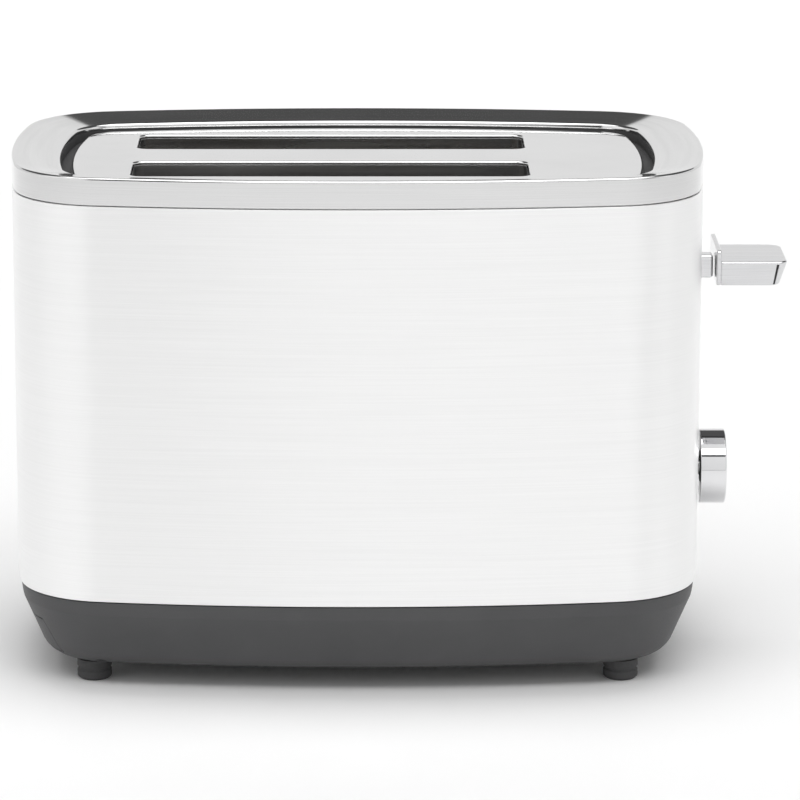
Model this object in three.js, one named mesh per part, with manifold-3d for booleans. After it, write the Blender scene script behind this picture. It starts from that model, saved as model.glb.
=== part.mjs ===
// Two-slot pop-up toaster: a painted steel body wrap between a steel trim ring and a tapered plastic base,
// with the toasting chamber, the sprung bread carriage and the controls inside it.
// Millimetres, +Z up, the lever at +X, the front at -Y. The origin is under the middle of the whole toaster, on the
// surface that it stands on.
import * as THREE from "three";
import { mergeVertices } from "three/addons/utils/BufferGeometryUtils.js";
import Module from "manifold-3d";

const wasm = await Module();
wasm.setup();

// ---- Driving dimensions -------------------------------------------------------------------------------------------

const GAP = 0.4; // assembly clearance between separate pieces

// Plan outline of the body: a rectangle with bowed sides and large round corners.
const PLAN = { halfLength: 130, halfDepth: 78.5, corner: 36.5, frontBow: 664, endBow: 275 };

// Heights above the surface that the feet stand on.
const FOOT_TOP = 7.8;
const BASE_BOTTOM = 8.2;
const BASE_TOP = 35.6;
const SHELL_BOTTOM = BASE_TOP + GAP;
const RING_BOTTOM = 185.5;
const SHELL_TOP = RING_BOTTOM - GAP;
const BAND_TOP = 193.9; // top of the ring's upright band
const CREST = 195.8; // highest line of the ring
const PLATE_TOP = 191.2;

const SHELL_WALL = 0.8;
const SHEET = 1; // thickness of the pressed inner parts

// Bread slots, seen from above.
const SLOT = { x0: -83.7, x1: 63.4, pitch: 56.4, width: 30, corner: 4, lip: 8.5 };
const SLOT_Y = SLOT.pitch / 2;

// Toasting chamber.
const CHAMBER = { left: -88.5, right: 68.5, side: 61.5, bottom: 34.8, top: 186.8 };
const HEATER = { z0: 56, z1: 171, outerY: 50.6, innerY: 5.6, thick: 0.8, tab: 9 };
const GUIDE = { wire: 0.9, pivotZ: 54, topZ: 177, spread: 13.2, bars: 7, swing: 11 };

// Carriage, lever and guide rod. The lever rests at the top of its travel.
const TRAVEL = 55;
const LEVER = { x0: 135.3, x1: 162.4, halfWidth: 16.8, z0: 144.2, z1: 153.4, flangeTop: 157.6, flange: 1.8 };
const STEM = { halfWidth: 3.6, z0: 144.4, z1: 153.2 };
const ROD = { x: 84, r: 2.1, bottom: 37.5, top: 183 };
const SLEEVE = { r: 4.8, z0: 115.5, z1: 152 };
const RACK_Z = 120;
const BRACKET_X = 76.1;

// Controls on the +X end.
const KNOB = { z: 70, r: 14.3, x0: 130.9, x1: 140.8, shaft: 3 };
const BUTTON = { y: 29, r: 5.3, heights: { cancel: 94, reheat: 111, defrost: 128 }, face: 130.1, back: 122.2 };

const FOOT = { x: 99.2, y: 47.5, r: 6.5, peg: 2 };
const SCREW = { y: 57.5, left: -95.5, right: 75, boss: 4.4, shank: 1.5, head: 3.2 };
const TRAY = { x0: -113, x1: 64, halfWidth: 51.5, z0: 12.2, wall: 0.7, rim: 5 };
const BUSH = { bore: 3.5, nose: 6.2, flange: 9 };
const DIAL_CONTROL = { x0: 115.6, x1: 123.2, half: 8.7 };
const MAGNET = { x: 98, y: -21, top: 57.6 };
const SPRING = { low: 43.5, turns: 9, radius: 3.7, wire: 0.55 };
const GLAND = { x: 88, z: 23.5, bore: 3.6, r: 5.2, flange: 7.4 };

// ---- Finishes -----------------------------------------------------------------------------------------------------

const finish = (color, roughness, metalness) => new THREE.MeshStandardMaterial({ color, roughness, metalness });
const FINISH = {
  whiteSteel: finish(0xf2f2f1, 0.35, 0.2),
  trimSteel: finish(0xc9c9c9, 0.25, 1),
  plateChrome: finish(0xd8d8d8, 0.12, 1),
  chrome: finish(0xdcdcdc, 0.08, 1),
  baseGrey: finish(0x4d4d4e, 0.6, 0),
  rubber: finish(0x3f3f40, 0.85, 0),
  galvanised: finish(0x9a9a9c, 0.45, 1),
  wire: finish(0xa8a8a8, 0.3, 1),
  mica: finish(0xb9a37c, 0.6, 0),
  blackPlastic: finish(0x1c1c1e, 0.5, 0),
  board: finish(0x2f6b3c, 0.5, 0),
  copper: finish(0xb0673a, 0.35, 1),
};

// ---- Solids -------------------------------------------------------------------------------------------------------

// A closed geometry as a manifold-3d solid.
function solid(geometry) {
  const bare = geometry.clone();
  for (const name of Object.keys(bare.attributes)) if (name !== "position") bare.deleteAttribute(name);
  const merged = mergeVertices(bare, 1e-4);
  const vertProperties = new Float32Array(merged.attributes.position.array);
  const triVerts = new Uint32Array(merged.index.array);
  return new wasm.Manifold(new wasm.Mesh({ numProp: 3, vertProperties, triVerts }));
}

// A manifold-3d solid as an indexed geometry.
function geometryOf(body) {
  const { numProp, numVert, vertProperties, triVerts } = body.getMesh();
  const position = new Float32Array(numVert * 3);
  for (let i = 0; i < numVert; i++) position.set(vertProperties.subarray(i * numProp, i * numProp + 3), i * 3);
  const geometry = new THREE.BufferGeometry();
  geometry.setAttribute("position", new THREE.BufferAttribute(position, 3));
  geometry.setIndex(new THREE.BufferAttribute(new Uint32Array(triVerts), 1));
  return geometry;
}

const join = (...bodies) => bodies.reduce((sum, body) => sum.add(body));
const cut = (body, ...tools) => tools.reduce((rest, tool) => rest.subtract(tool), body);

// A block between two corners.
function block([x0, x1], [y0, y1], [z0, z1]) {
  const box = new THREE.BoxGeometry(x1 - x0, y1 - y0, z1 - z0);
  return solid(box.translate((x0 + x1) / 2, (y0 + y1) / 2, (z0 + z1) / 2));
}

// A round bar of radius r from one coordinate to another along "x", "y" or "z", centred on the other two coordinates.
function bar(axis, r, from, to, [u, v], sides = 20) {
  const rod = new THREE.CylinderGeometry(r, r, to - from, sides);
  const middle = (from + to) / 2;
  if (axis === "x") return solid(rod.rotateZ(-Math.PI / 2).translate(middle, u, v));
  if (axis === "y") return solid(rod.translate(u, middle, v));
  return solid(rod.rotateX(Math.PI / 2).translate(u, v, middle));
}

// A turned piece about an axis through [u, v]: the profile is [radius, position along the axis] pairs.
function turned(axis, profile, [u, v], sides = 28) {
  const points = profile.map(([r, along]) => new THREE.Vector2(r, along));
  const lathe = new THREE.LatheGeometry(points, sides);
  if (axis === "x") return solid(lathe.rotateZ(-Math.PI / 2).translate(0, u, v));
  if (axis === "y") return solid(lathe.translate(u, 0, v));
  return solid(lathe.rotateX(Math.PI / 2).translate(u, v, 0));
}

// A prism with round corners along "x" or "z"; its first two ranges are across it, its third is along it.
function roundedPrism(axis, [u0, u1], [v0, v1], [w0, w1], corner) {
  const shape = new THREE.Shape();
  const quarter = Math.PI / 2;
  shape.absarc(u1 - corner, v0 + corner, corner, -quarter, 0);
  shape.absarc(u1 - corner, v1 - corner, corner, 0, quarter);
  shape.absarc(u0 + corner, v1 - corner, corner, quarter, 2 * quarter);
  shape.absarc(u0 + corner, v0 + corner, corner, 2 * quarter, 3 * quarter);
  shape.closePath();
  const prism = new THREE.ExtrudeGeometry(shape, { depth: w1 - w0, bevelEnabled: false, curveSegments: 5 });
  prism.translate(0, 0, w0);
  if (axis === "x") prism.rotateX(Math.PI / 2).rotateZ(Math.PI / 2);
  return solid(prism);
}

// ---- The plan outline ---------------------------------------------------------------------------------------------

// One quarter of the outline as [point, outward normal] pairs, from the middle of the +X end to the middle of the
// +Y side: an arc of endBow, the corner arc and an arc of frontBow, each tangent to the next.
function quarterOutline() {
  const { halfLength, halfDepth, corner, frontBow, endBow } = PLAN;
  const endCentre = new THREE.Vector2(halfLength - endBow, 0);
  const sideCentre = new THREE.Vector2(0, halfDepth - frontBow);
  const toEnd = endBow - corner;
  const toSide = frontBow - corner;
  const between = endCentre.clone().sub(sideCentre);
  const distance = between.length();
  const along = (toSide ** 2 - toEnd ** 2 + distance ** 2) / (2 * distance);
  const across = Math.sqrt(toSide ** 2 - along ** 2);
  const unit = between.divideScalar(distance);
  const cornerCentre = sideCentre.clone().addScaledVector(unit, along);
  cornerCentre.add(new THREE.Vector2(unit.y, -unit.x).multiplyScalar(across));
  const endAngle = cornerCentre.clone().sub(endCentre).angle();
  const sideAngle = cornerCentre.clone().sub(sideCentre).angle();
  const arcs = [
    [endCentre, endBow, 0, endAngle, 3],
    [cornerCentre, corner, endAngle, sideAngle, 6],
    [sideCentre, frontBow, sideAngle, Math.PI / 2, 3],
  ];
  const stations = [];
  for (const [centre, radius, from, to, steps] of arcs) {
    for (let i = 0; i < steps; i++) {
      const angle = from + ((to - from) * i) / steps;
      const normal = new THREE.Vector2(Math.cos(angle), Math.sin(angle));
      stations.push([centre.clone().addScaledVector(normal, radius), normal]);
    }
  }
  stations.push([new THREE.Vector2(0, halfDepth), new THREE.Vector2(0, 1)]);
  return stations;
}

// The whole outline, anticlockwise from the middle of the +X end.
function wholeOutline() {
  const quarter = quarterOutline();
  const mirrored = (list, sx, sy) =>
    list.map(([p, n]) => [new THREE.Vector2(p.x * sx, p.y * sy), new THREE.Vector2(n.x * sx, n.y * sy)]);
  const back = quarter.slice().reverse();
  return [
    ...quarter.slice(0, -1),
    ...mirrored(back, -1, 1).slice(0, -1),
    ...mirrored(quarter, -1, -1).slice(0, -1),
    ...mirrored(back, 1, -1).slice(0, -1),
  ];
}

const OUTLINE = wholeOutline();

// The outline moved inwards, by inX at the ends and inY at the sides, at height z.
const outlineAt = ([inX, z, inY = inX]) => OUTLINE.map(([p, n]) => [p.x - n.x * inX, p.y - n.y * inY, z]);

function stackOf(levels, closed) {
  const rings = levels.map(outlineAt);
  const count = OUTLINE.length;
  const index = [];
  const spans = closed ? rings.length : rings.length - 1;
  for (let j = 0; j < spans; j++) {
    const low = j * count;
    const high = ((j + 1) % rings.length) * count;
    for (let i = 0; i < count; i++) {
      const next = (i + 1) % count;
      index.push(low + i, low + next, high + next, low + i, high + next, high + i);
    }
  }
  const points = rings.flat();
  if (!closed) {
    const bottom = points.push([0, 0, levels[0][1]]) - 1;
    const top = points.push([0, 0, levels[levels.length - 1][1]]) - 1;
    const last = (rings.length - 1) * count;
    for (let i = 0; i < count; i++) {
      const next = (i + 1) % count;
      index.push(bottom, next, i, top, last + i, last + next);
    }
  }
  const geometry = new THREE.BufferGeometry();
  geometry.setAttribute("position", new THREE.Float32BufferAttribute(points.flat(), 3));
  geometry.setIndex(index);
  return solid(geometry);
}

// A frame that follows the outline: the profile is [inset, z, side inset] points, up the outside and down the inside.
const frameAround = (profile) => stackOf(profile, true);

// A capped body through outlines stacked from the bottom upwards.
const loft = (levels) => stackOf(levels, false);

// ---- Housing ------------------------------------------------------------------------------------------------------

function bodyShell() {
  const wrap = frameAround([[0, SHELL_BOTTOM], [0, SHELL_TOP], [SHELL_WALL, SHELL_TOP], [SHELL_WALL, SHELL_BOTTOM]]);
  const through = [PLAN.halfLength - 12, PLAN.halfLength + 5];
  const leverSlot = roundedPrism("x", [-5, 5], [STEM.z0 - TRAVEL - 3, STEM.z1 + 3], through, 3);
  const buttonHoles = Object.values(BUTTON.heights).map((z) => bar("x", BUTTON.r + GAP, ...through, [BUTTON.y, z]));
  return cut(wrap, leverSlot, bar("x", BUSH.nose + GAP, ...through, [0, KNOB.z]), ...buttonHoles);
}

// The upright band, the top face that falls inwards, the wall down to the plate and the skirt inside the wrap.
function trimRing() {
  const skirt = RING_BOTTOM - 5.5;
  const underEdge = CREST - 6.6;
  return frameAround([
    [1.3, skirt], [1.3, RING_BOTTOM], [0.3, RING_BOTTOM + 0.1], [0, RING_BOTTOM + 1], [0, BAND_TOP],
    [0.5, CREST - 0.5], [1.9, CREST], [16.8, CREST - 2.2, 13.1], [17.8, CREST - 2.9, 14.1],
    [18.1, CREST - 3.9, 14.4], [18.1, underEdge, 14.4], [16.5, underEdge, 12.8], [16.3, CREST - 4, 12.6],
    [2.6, CREST - 2, 2.6], [2.6, skirt],
  ]);
}

// The plate's edge runs under the ring; from the moat inside the ring it rises to the flat top round both slots.
function topPlate() {
  const moat = PLATE_TOP - 2.8;
  const top = loft([[15, moat - SHEET, 11.5], [15, moat, 11.5], [19.2, moat, 15.6], [23.5, PLATE_TOP, 22.6]]);
  const hollow = loft([[19.8, moat - SHEET - 0.2, 16.4], [24.1, PLATE_TOP - SHEET, 23.3]]);
  const sleeve = (y, grow, heights) => roundedPrism("z",
    [SLOT.x0 - grow, SLOT.x1 + grow], [y - SLOT.width / 2 - grow, y + SLOT.width / 2 + grow],
    heights, SLOT.corner + grow);
  const lips = [-SLOT_Y, SLOT_Y].map((y) => sleeve(y, SHEET, [PLATE_TOP - SLOT.lip, PLATE_TOP - 0.2]));
  const holes = [-SLOT_Y, SLOT_Y].map((y) => sleeve(y, 0, [PLATE_TOP - SLOT.lip - 5, PLATE_TOP + 5]));
  return cut(join(cut(top, hollow), ...lips), ...holes);
}

const BASE_OUTSIDE = [
  [13, BASE_BOTTOM], [10.2, 9.3], [8.5, 11.8], [6.9, 16.9], [1.2, 30.2], [0.5, BASE_TOP - 0.6], [1, BASE_TOP],
];
const BASE_FLOOR = 10.3; // top of the base's floor
const TRAY_DOOR = { halfWidth: 54, z0: 11.4, z1: 24.5 };

function baseMoulding() {
  const outside = loft(BASE_OUTSIDE);
  const inside = loft([[14.8, BASE_FLOOR], [11, 12.5], [9.3, 17.2], [3.5, 30.5], [3.5, 48]]);
  const collar = frameAround([[1.3, BASE_TOP - 3], [1.3, 41.5], [3.3, 41.5], [3.3, BASE_TOP - 3]]);
  const places = [SCREW.left, SCREW.right].flatMap((x) => [-SCREW.y, SCREW.y].map((y) => [x, y]));
  const bosses = places.map((p) => bar("z", SCREW.boss, BASE_FLOOR - 1, CHAMBER.bottom - GAP, p, 12));
  const bores = places.map((p) => bar("z", SCREW.shank + 0.3, 0, 50, p, 10));
  const counterbores = places.map((p) => bar("z", SCREW.head + 0.4, 0, 11.9, p, 12));
  const pegHoles = [-1, 1].flatMap((sx) => [-1, 1].map((sy) =>
    bar("z", FOOT.peg + 0.3, 0, 14, [sx * FOOT.x, sy * FOOT.y], 12)));
  const vents = [];
  for (let x = -60; x <= 40; x += 20) {
    for (const y of [-25, 25]) vents.push(block([x - 2, x + 2], [y - 17, y + 17], [0, 14]));
  }
  const { halfWidth, z0, z1 } = TRAY_DOOR;
  const door = block([-PLAN.halfLength, -105], [-halfWidth, halfWidth], [z0, z1]);
  const cable = bar("y", GLAND.r + GAP, 58, 85, [GLAND.x, GLAND.z], 16);
  return cut(join(cut(outside, inside), collar, ...bosses), door, cable, ...bores, ...counterbores, ...pegHoles, ...vents);
}

function foot(sx, sy) {
  const { x, y, r, peg } = FOOT;
  const profile = [[0, 0], [r - 0.8, 0], [r, 0.8], [r, FOOT_TOP], [peg, FOOT_TOP], [peg, 11.6], [0, 11.6]];
  return turned("z", profile, [sx * x, sy * y], 20);
}

function baseScrew(x, y) {
  const { head, shank } = SCREW;
  const profile = [[0, 8.9], [head, 8.9], [head, 11.5], [shank, 11.5], [shank, 40], [0, 40]];
  return turned("z", profile, [x, y], 10);
}

// The bush that the mains cable passes through, with its flange inside the base.
function cordGland() {
  const { bore, r, flange } = GLAND;
  const profile = [
    [bore, 59.6], [flange, 59.6], [flange, 61.8], [r, 61.8], [r, 73.6], [r - 0.6, 75], [bore, 75], [bore, 59.6],
  ];
  return turned("y", profile, [GLAND.x, GLAND.z], 20);
}

// ---- Crumb tray ---------------------------------------------------------------------------------------------------

function crumbTray() {
  const { x0, x1, halfWidth, z0, wall, rim } = TRAY;
  const pan = block([x0, x1], [-halfWidth, halfWidth], [z0, z0 + rim]);
  const well = block([x0 + wall, x1 - wall], [-halfWidth + wall, halfWidth - wall], [z0 + wall, z0 + 20]);
  return cut(pan, well);
}

// The grip closes the base's opening, with its face in the base's own taper and a finger hollow under its edge.
function trayGrip() {
  const { halfWidth, z0, z1 } = TRAY_DOOR;
  const slab = block([-PLAN.halfLength, TRAY.x0 - GAP], [-halfWidth + GAP, halfWidth - GAP], [z0 + GAP, z1 - GAP]);
  const fingers = bar("x", 15.5, -PLAN.halfLength, TRAY.x0 - 4, [0, z0 - 9], 28);
  return cut(loft(BASE_OUTSIDE).intersect(slab), fingers);
}

// ---- Toasting chamber ---------------------------------------------------------------------------------------------

const HEATER_Y = [-HEATER.outerY, -HEATER.innerY, HEATER.innerY, HEATER.outerY];
const HEATER_TAB = [140, 140 + HEATER.tab];

const GUIDES = {
  front_outer: { y: -SLOT_Y - GUIDE.spread, inwards: 1 },
  front_inner: { y: -SLOT_Y + GUIDE.spread, inwards: -1 },
  rear_inner: { y: SLOT_Y - GUIDE.spread, inwards: 1 },
  rear_outer: { y: SLOT_Y + GUIDE.spread, inwards: -1 },
};

// A chamber end with a foot for its two screws, holes for the guides' lower wires, slots for their upper ones and
// slots for the heaters' tabs.
function chamberEnd(x, footTowards, armSlots) {
  const { side, bottom, top } = CHAMBER;
  const upright = block([x, x + SHEET], [-side, side], [bottom, top]);
  const footX = footTowards < 0 ? [x - 12, x + SHEET] : [x, x + SHEET + 12];
  const foot = block(footX, [-side, side], [bottom, bottom + SHEET]);
  const screwX = footTowards < 0 ? SCREW.left : SCREW.right;
  const tools = [-SCREW.y, SCREW.y].map((y) => bar("z", SCREW.shank + 0.3, 30, 40, [screwX, y], 10));
  const through = [x - 2, x + 3];
  for (const { y, inwards } of Object.values(GUIDES)) {
    const across = inwards > 0 ? [y - 1.6, y + GUIDE.swing] : [y - GUIDE.swing, y + 1.6];
    tools.push(bar("x", 1.4, ...through, [y, GUIDE.pivotZ], 10));
    tools.push(block(through, across, [GUIDE.topZ - 2.6, GUIDE.topZ + 1.8]));
  }
  for (const y of HEATER_Y) {
    const half = HEATER.thick / 2 + 0.3;
    tools.push(block(through, [y - half, y + half], [HEATER_TAB[0] - 0.5, HEATER_TAB[1] + 0.5]));
  }
  if (armSlots) {
    for (const y of [-SLOT_Y, SLOT_Y]) tools.push(block(through, [y - 3.2, y + 3.2], [RACK_Z - TRAVEL - 4, RACK_Z + 6]));
  }
  return cut(join(upright, foot), ...tools);
}

// The sheet outside each outer heater, with its top and bottom edges turned inwards.
function reflector(sign) {
  const { left, right, side, bottom, top } = CHAMBER;
  const long = [left + SHEET + GAP, right - GAP];
  const across = (near, far) => [sign * near, sign * far].sort((a, b) => a - b);
  const sheet = block(long, across(side - SHEET, side), [bottom + 2, top]);
  const upper = block(long, across(side - 10, side), [top - SHEET, top]);
  const lower = block(long, across(side - 7, side), [bottom + 2, bottom + 2 + SHEET]);
  return join(sheet, upper, lower);
}

// A mica board with a tab at each end that stands in a slot of the chamber end.
function heaterBoard(y) {
  const { z0, z1, thick } = HEATER;
  const across = [y - thick / 2, y + thick / 2];
  const board = block([CHAMBER.left + SHEET + GAP, CHAMBER.right - GAP], across, [z0, z1]);
  const tabs = block([CHAMBER.left - 1.5, CHAMBER.right + SHEET + 1.5], across, HEATER_TAB);
  return join(board, tabs);
}

// A wire cage beside the bread: upright wires welded between a lower wire, which it turns on, and an upper wire.
function breadGuide(y) {
  const { wire, pivotZ, topZ, bars } = GUIDE;
  const ends = [CHAMBER.left - 1.5, CHAMBER.right + SHEET + 1.5];
  const wires = [bar("x", wire, ...ends, [y, pivotZ], 6), bar("x", wire, ...ends, [y, topZ], 6)];
  const [first, last] = [SLOT.x0 + 6, SLOT.x1 - 6];
  for (let i = 0; i < bars; i++) {
    wires.push(bar("z", wire * 0.9, pivotZ, topZ, [first + ((last - first) * i) / (bars - 1), y], 6));
  }
  return join(...wires);
}

// ---- Bread carriage -----------------------------------------------------------------------------------------------

// A rack that the bread stands on: a spine with cross bars whose ends turn up.
function breadRack(y) {
  const parts = [block([SLOT.x0 + 5, BRACKET_X - GAP], [y - 2, y + 2], [RACK_Z, RACK_Z + 2])];
  for (let x = SLOT.x0 + 8; x < SLOT.x1 - 4; x += 16) {
    parts.push(block([x, x + 3], [y - 9, y + 9], [RACK_Z + 0.5, RACK_Z + 2]));
    for (const side of [-9, 7.8]) parts.push(block([x, x + 3], [y + side, y + side + 1.2], [RACK_Z + 0.5, RACK_Z + 5]));
  }
  return join(...parts);
}

// The plate that holds both racks, with the sleeve that slides on the rod.
function carriageBracket() {
  const thick = [BRACKET_X, BRACKET_X + 1.2];
  const crossbar = block(thick, [-33, 33], [SLEEVE.z0 - 2, RACK_Z + 7]);
  const upright = block(thick, [-7, 7], [SLEEVE.z0 - 2, SLEEVE.z1]);
  const web = block([thick[0], ROD.x], [-1.2, 1.2], [SLEEVE.z0, SLEEVE.z1]);
  const sleeve = bar("z", SLEEVE.r, SLEEVE.z0, SLEEVE.z1, [ROD.x, 0], 16);
  return cut(join(crossbar, upright, web, sleeve), bar("z", ROD.r + 0.35, 90, 180, [ROD.x, 0], 16));
}

function leverArm() {
  const { halfWidth, z0, z1 } = STEM;
  const arm = block([ROD.x + SLEEVE.r + GAP, LEVER.x0 - GAP], [-halfWidth, halfWidth], [z0, z1]);
  const window = block([ROD.x + SLEEVE.r + 6, PLAN.halfLength - 9], [-10, 10], [z0 + 2.5, z1 - 2.5]);
  return cut(arm, window);
}

// The chrome paddle, its undercut end and the flange that hides the slot.
function leverHandle() {
  const { x0, x1, halfWidth, z0, z1, flangeTop, flange } = LEVER;
  const side = new THREE.Shape();
  side.moveTo(x0 + flange - 0.2, z0);
  side.lineTo(x1 - 3.4, z0);
  side.lineTo(x1 - 0.2, z1 - 1.2);
  side.lineTo(x1 - 1.1, z1);
  side.lineTo(x0 + flange - 0.2, z1);
  side.closePath();
  const extruded = new THREE.ExtrudeGeometry(side, { depth: 2 * halfWidth, bevelEnabled: false });
  const paddle = solid(extruded.rotateX(Math.PI / 2).translate(0, halfWidth, 0));
  const plan = roundedPrism("z", [x0 - 20, x1], [-halfWidth, halfWidth], [z0 - 5, z1 + 5], 3);
  const plate = block([x0, x0 + flange], [-halfWidth, halfWidth], [z0, flangeTop]);
  return join(paddle.intersect(plan), plate);
}

// The keeper that the magnet holds when the carriage is down, on an arm from the bracket.
function latchPlate() {
  const { x, y, top } = MAGNET;
  const low = top + TRAVEL + GAP;
  const arm = block([BRACKET_X + 1.6, x + 9], [y - 9, y + 9], [low + 1.5, low + 3]);
  const keeper = block([x - 8, x + 8], [y - 8, y + 8], [low, low + 1.6]);
  return join(arm, keeper);
}

const guideRod = () => bar("z", ROD.r, ROD.bottom, ROD.top, [ROD.x, 0], 16);

// A shelf off the chamber end that holds one end of the rod.
function rodBracket(z, tab) {
  const near = CHAMBER.right + SHEET + GAP;
  const shelf = block([near, ROD.x + 6], [-8, 8], [z, z + 1.5]);
  const upright = block([near, near + 1.5], [-8, 8], tab);
  return cut(join(shelf, upright), bar("z", ROD.r + 0.3, z - 5, z + 5, [ROD.x, 0], 16));
}

// A compression spring round the rod, between the lower shelf and the carriage's sleeve.
function liftSpring() {
  const { low, turns, radius, wire } = SPRING;
  const high = SLEEVE.z0 - 1;
  class Helix extends THREE.Curve {
    getPoint(t) {
      const angle = t * turns * 2 * Math.PI;
      return new THREE.Vector3(ROD.x + radius * Math.cos(angle), radius * Math.sin(angle), low + (high - low) * t);
    }
  }
  const section = new THREE.Shape();
  section.absarc(0, 0, wire, 0, 2 * Math.PI);
  const options = { steps: turns * 8, curveSegments: 3, extrudePath: new Helix(), bevelEnabled: false };
  return solid(new THREE.ExtrudeGeometry(section, options));
}

// ---- Controls -----------------------------------------------------------------------------------------------------

// The black guide behind the lever's slot.
function slotGuide() {
  const [low, high] = [STEM.z0 - TRAVEL, STEM.z1];
  const plate = block([125.6, 128.1], [-14, 14], [low - 5, high + 7]);
  return cut(plate, block([120, 140], [-4.4, 4.4], [low - 2, high + 2]));
}

function browningKnob() {
  const { x0, x1, r, shaft } = KNOB;
  const socket = [x0 + 4.4, shaft + 0.3];
  const profile = [
    [0, socket[0]], [socket[1], socket[0]], [socket[1], x0], [r - 0.8, x0], [r, x0 + 0.8], [r, x1 - 1],
    [r - 0.9, x1], [0, x1],
  ];
  return turned("x", profile, [0, KNOB.z], 32);
}

const dialShaft = () => bar("x", KNOB.shaft, DIAL_CONTROL.x1 + GAP, KNOB.x0 + 4, [0, KNOB.z], 16);

// The bush in the wrap that the dial's shaft turns in.
function dialBush() {
  const { bore, nose, flange } = BUSH;
  const [back, shoulder, front] = [PLAN.halfLength - 3.4, PLAN.halfLength - 1.7, PLAN.halfLength + 0.4];
  const profile = [
    [bore, back], [flange, back], [flange, shoulder], [nose, shoulder], [nose, front], [bore, front], [bore, back],
  ];
  return turned("x", profile, [0, KNOB.z], 20);
}

function dialControl() {
  const { x0, x1, half } = DIAL_CONTROL;
  return block([x0, x1], [-half, half], [KNOB.z - half, KNOB.z + half]);
}

const controlBoard = () => block([113.6, 115.2], [-40, 40], [42, 84]);

// The small board behind the buttons, with one push switch for each.
function buttonBoard() {
  const { y, back, heights } = BUTTON;
  const front = back - 1.8;
  const board = block([front - 3.6, front - 2], [y - 8, y + 8], [heights.cancel - 9, heights.defrost + 9]);
  const switches = Object.values(heights).map((z) => block([front - 2.2, front], [y - 3, y + 3], [z - 3, z + 3]));
  return join(board, ...switches);
}

// A push button whose flange stops it inside the wrap.
function pushButton(z) {
  const { y, r, face, back } = BUTTON;
  const profile = [
    [0, back], [2.2, back], [2.2, back + 3], [r + 1.5, back + 3], [r + 1.5, back + 4.2], [r, back + 4.2],
    [r, face - 0.5], [r - 0.5, face], [0, face],
  ];
  return turned("x", profile, [y, z], 20);
}

function magnetCore() {
  const { x, y, top } = MAGNET;
  const pole = block([x - 3, x + 3], [y - 5, y + 5], [42, top]);
  const yoke = block([x - 9, x + 9], [y - 10, y + 10], [41, 43]);
  return join(pole, yoke);
}

function magnetCoil() {
  const { x, y, top } = MAGNET;
  const winding = roundedPrism("z", [x - 8, x + 8], [y - 10, y + 10], [43.4, top - 2], 3);
  return cut(winding, block([x - 3.5, x + 3.5], [y - 5.5, y + 5.5], [40, top + 2]));
}

// The mains contacts that the carriage closes at the bottom of its travel.
function mainsSwitch() {
  const body = block([100, 113.2], [14, 34], [41, 56]);
  const blade = block([96, 102], [17, 31], [53.2, 54]);
  return join(body, blade);
}

// ---- Assembly -----------------------------------------------------------------------------------------------------

const toaster = new THREE.Group();
// The lever stands out past the body at one end, so the body's middle is off the whole toaster's middle.
toaster.position.x = -(LEVER.x1 - PLAN.halfLength) / 2;

function add(name, body, material) {
  const mesh = new THREE.Mesh(geometryOf(body), material);
  mesh.name = name;
  toaster.add(mesh);
}

add("body_shell", bodyShell(), FINISH.whiteSteel);
add("trim_ring", trimRing(), FINISH.trimSteel);
add("top_plate", topPlate(), FINISH.plateChrome);
add("base_moulding", baseMoulding(), FINISH.baseGrey);
add("cord_gland", cordGland(), FINISH.blackPlastic);
for (const [end, sx] of [["left", -1], ["right", 1]]) {
  for (const [side, sy] of [["front", -1], ["rear", 1]]) {
    add(`foot_${side}_${end}`, foot(sx, sy), FINISH.rubber);
    add(`base_screw_${side}_${end}`, baseScrew(SCREW[end], sy * SCREW.y), FINISH.wire);
  }
}
add("crumb_tray", crumbTray(), FINISH.galvanised);
add("crumb_tray_grip", trayGrip(), FINISH.baseGrey);
add("chamber_end_left", chamberEnd(CHAMBER.left, -1, false), FINISH.galvanised);
add("chamber_end_right", chamberEnd(CHAMBER.right, 1, true), FINISH.galvanised);
add("reflector_front", reflector(-1), FINISH.galvanised);
add("reflector_rear", reflector(1), FINISH.galvanised);
add("heater_front_outer", heaterBoard(-HEATER.outerY), FINISH.mica);
add("heater_front_inner", heaterBoard(-HEATER.innerY), FINISH.mica);
add("heater_rear_inner", heaterBoard(HEATER.innerY), FINISH.mica);
add("heater_rear_outer", heaterBoard(HEATER.outerY), FINISH.mica);
for (const [place, { y }] of Object.entries(GUIDES)) add(`bread_guide_${place}`, breadGuide(y), FINISH.wire);
add("bread_rack_front", breadRack(-SLOT_Y), FINISH.galvanised);
add("bread_rack_rear", breadRack(SLOT_Y), FINISH.galvanised);
add("carriage_bracket", carriageBracket(), FINISH.galvanised);
add("latch_plate", latchPlate(), FINISH.wire);
add("lever_arm", leverArm(), FINISH.chrome);
add("lever_handle", leverHandle(), FINISH.chrome);
add("guide_rod", guideRod(), FINISH.wire);
add("rod_bracket_lower", rodBracket(41.4, [41.4, 50]), FINISH.galvanised);
add("rod_bracket_upper", rodBracket(179, [171, 179.5]), FINISH.galvanised);
add("lift_spring", liftSpring(), FINISH.wire);
add("lever_slot_guide", slotGuide(), FINISH.blackPlastic);
add("browning_knob", browningKnob(), FINISH.chrome);
add("dial_shaft", dialShaft(), FINISH.wire);
add("dial_bush", dialBush(), FINISH.blackPlastic);
add("dial_control", dialControl(), FINISH.blackPlastic);
add("control_board", controlBoard(), FINISH.board);
add("button_board", buttonBoard(), FINISH.board);
for (const [name, z] of Object.entries(BUTTON.heights)) add(`${name}_button`, pushButton(z), FINISH.chrome);
add("magnet_core", magnetCore(), FINISH.wire);
add("magnet_coil", magnetCoil(), FINISH.copper);
add("mains_switch", mainsSwitch(), FINISH.blackPlastic);

export default toaster;
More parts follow.
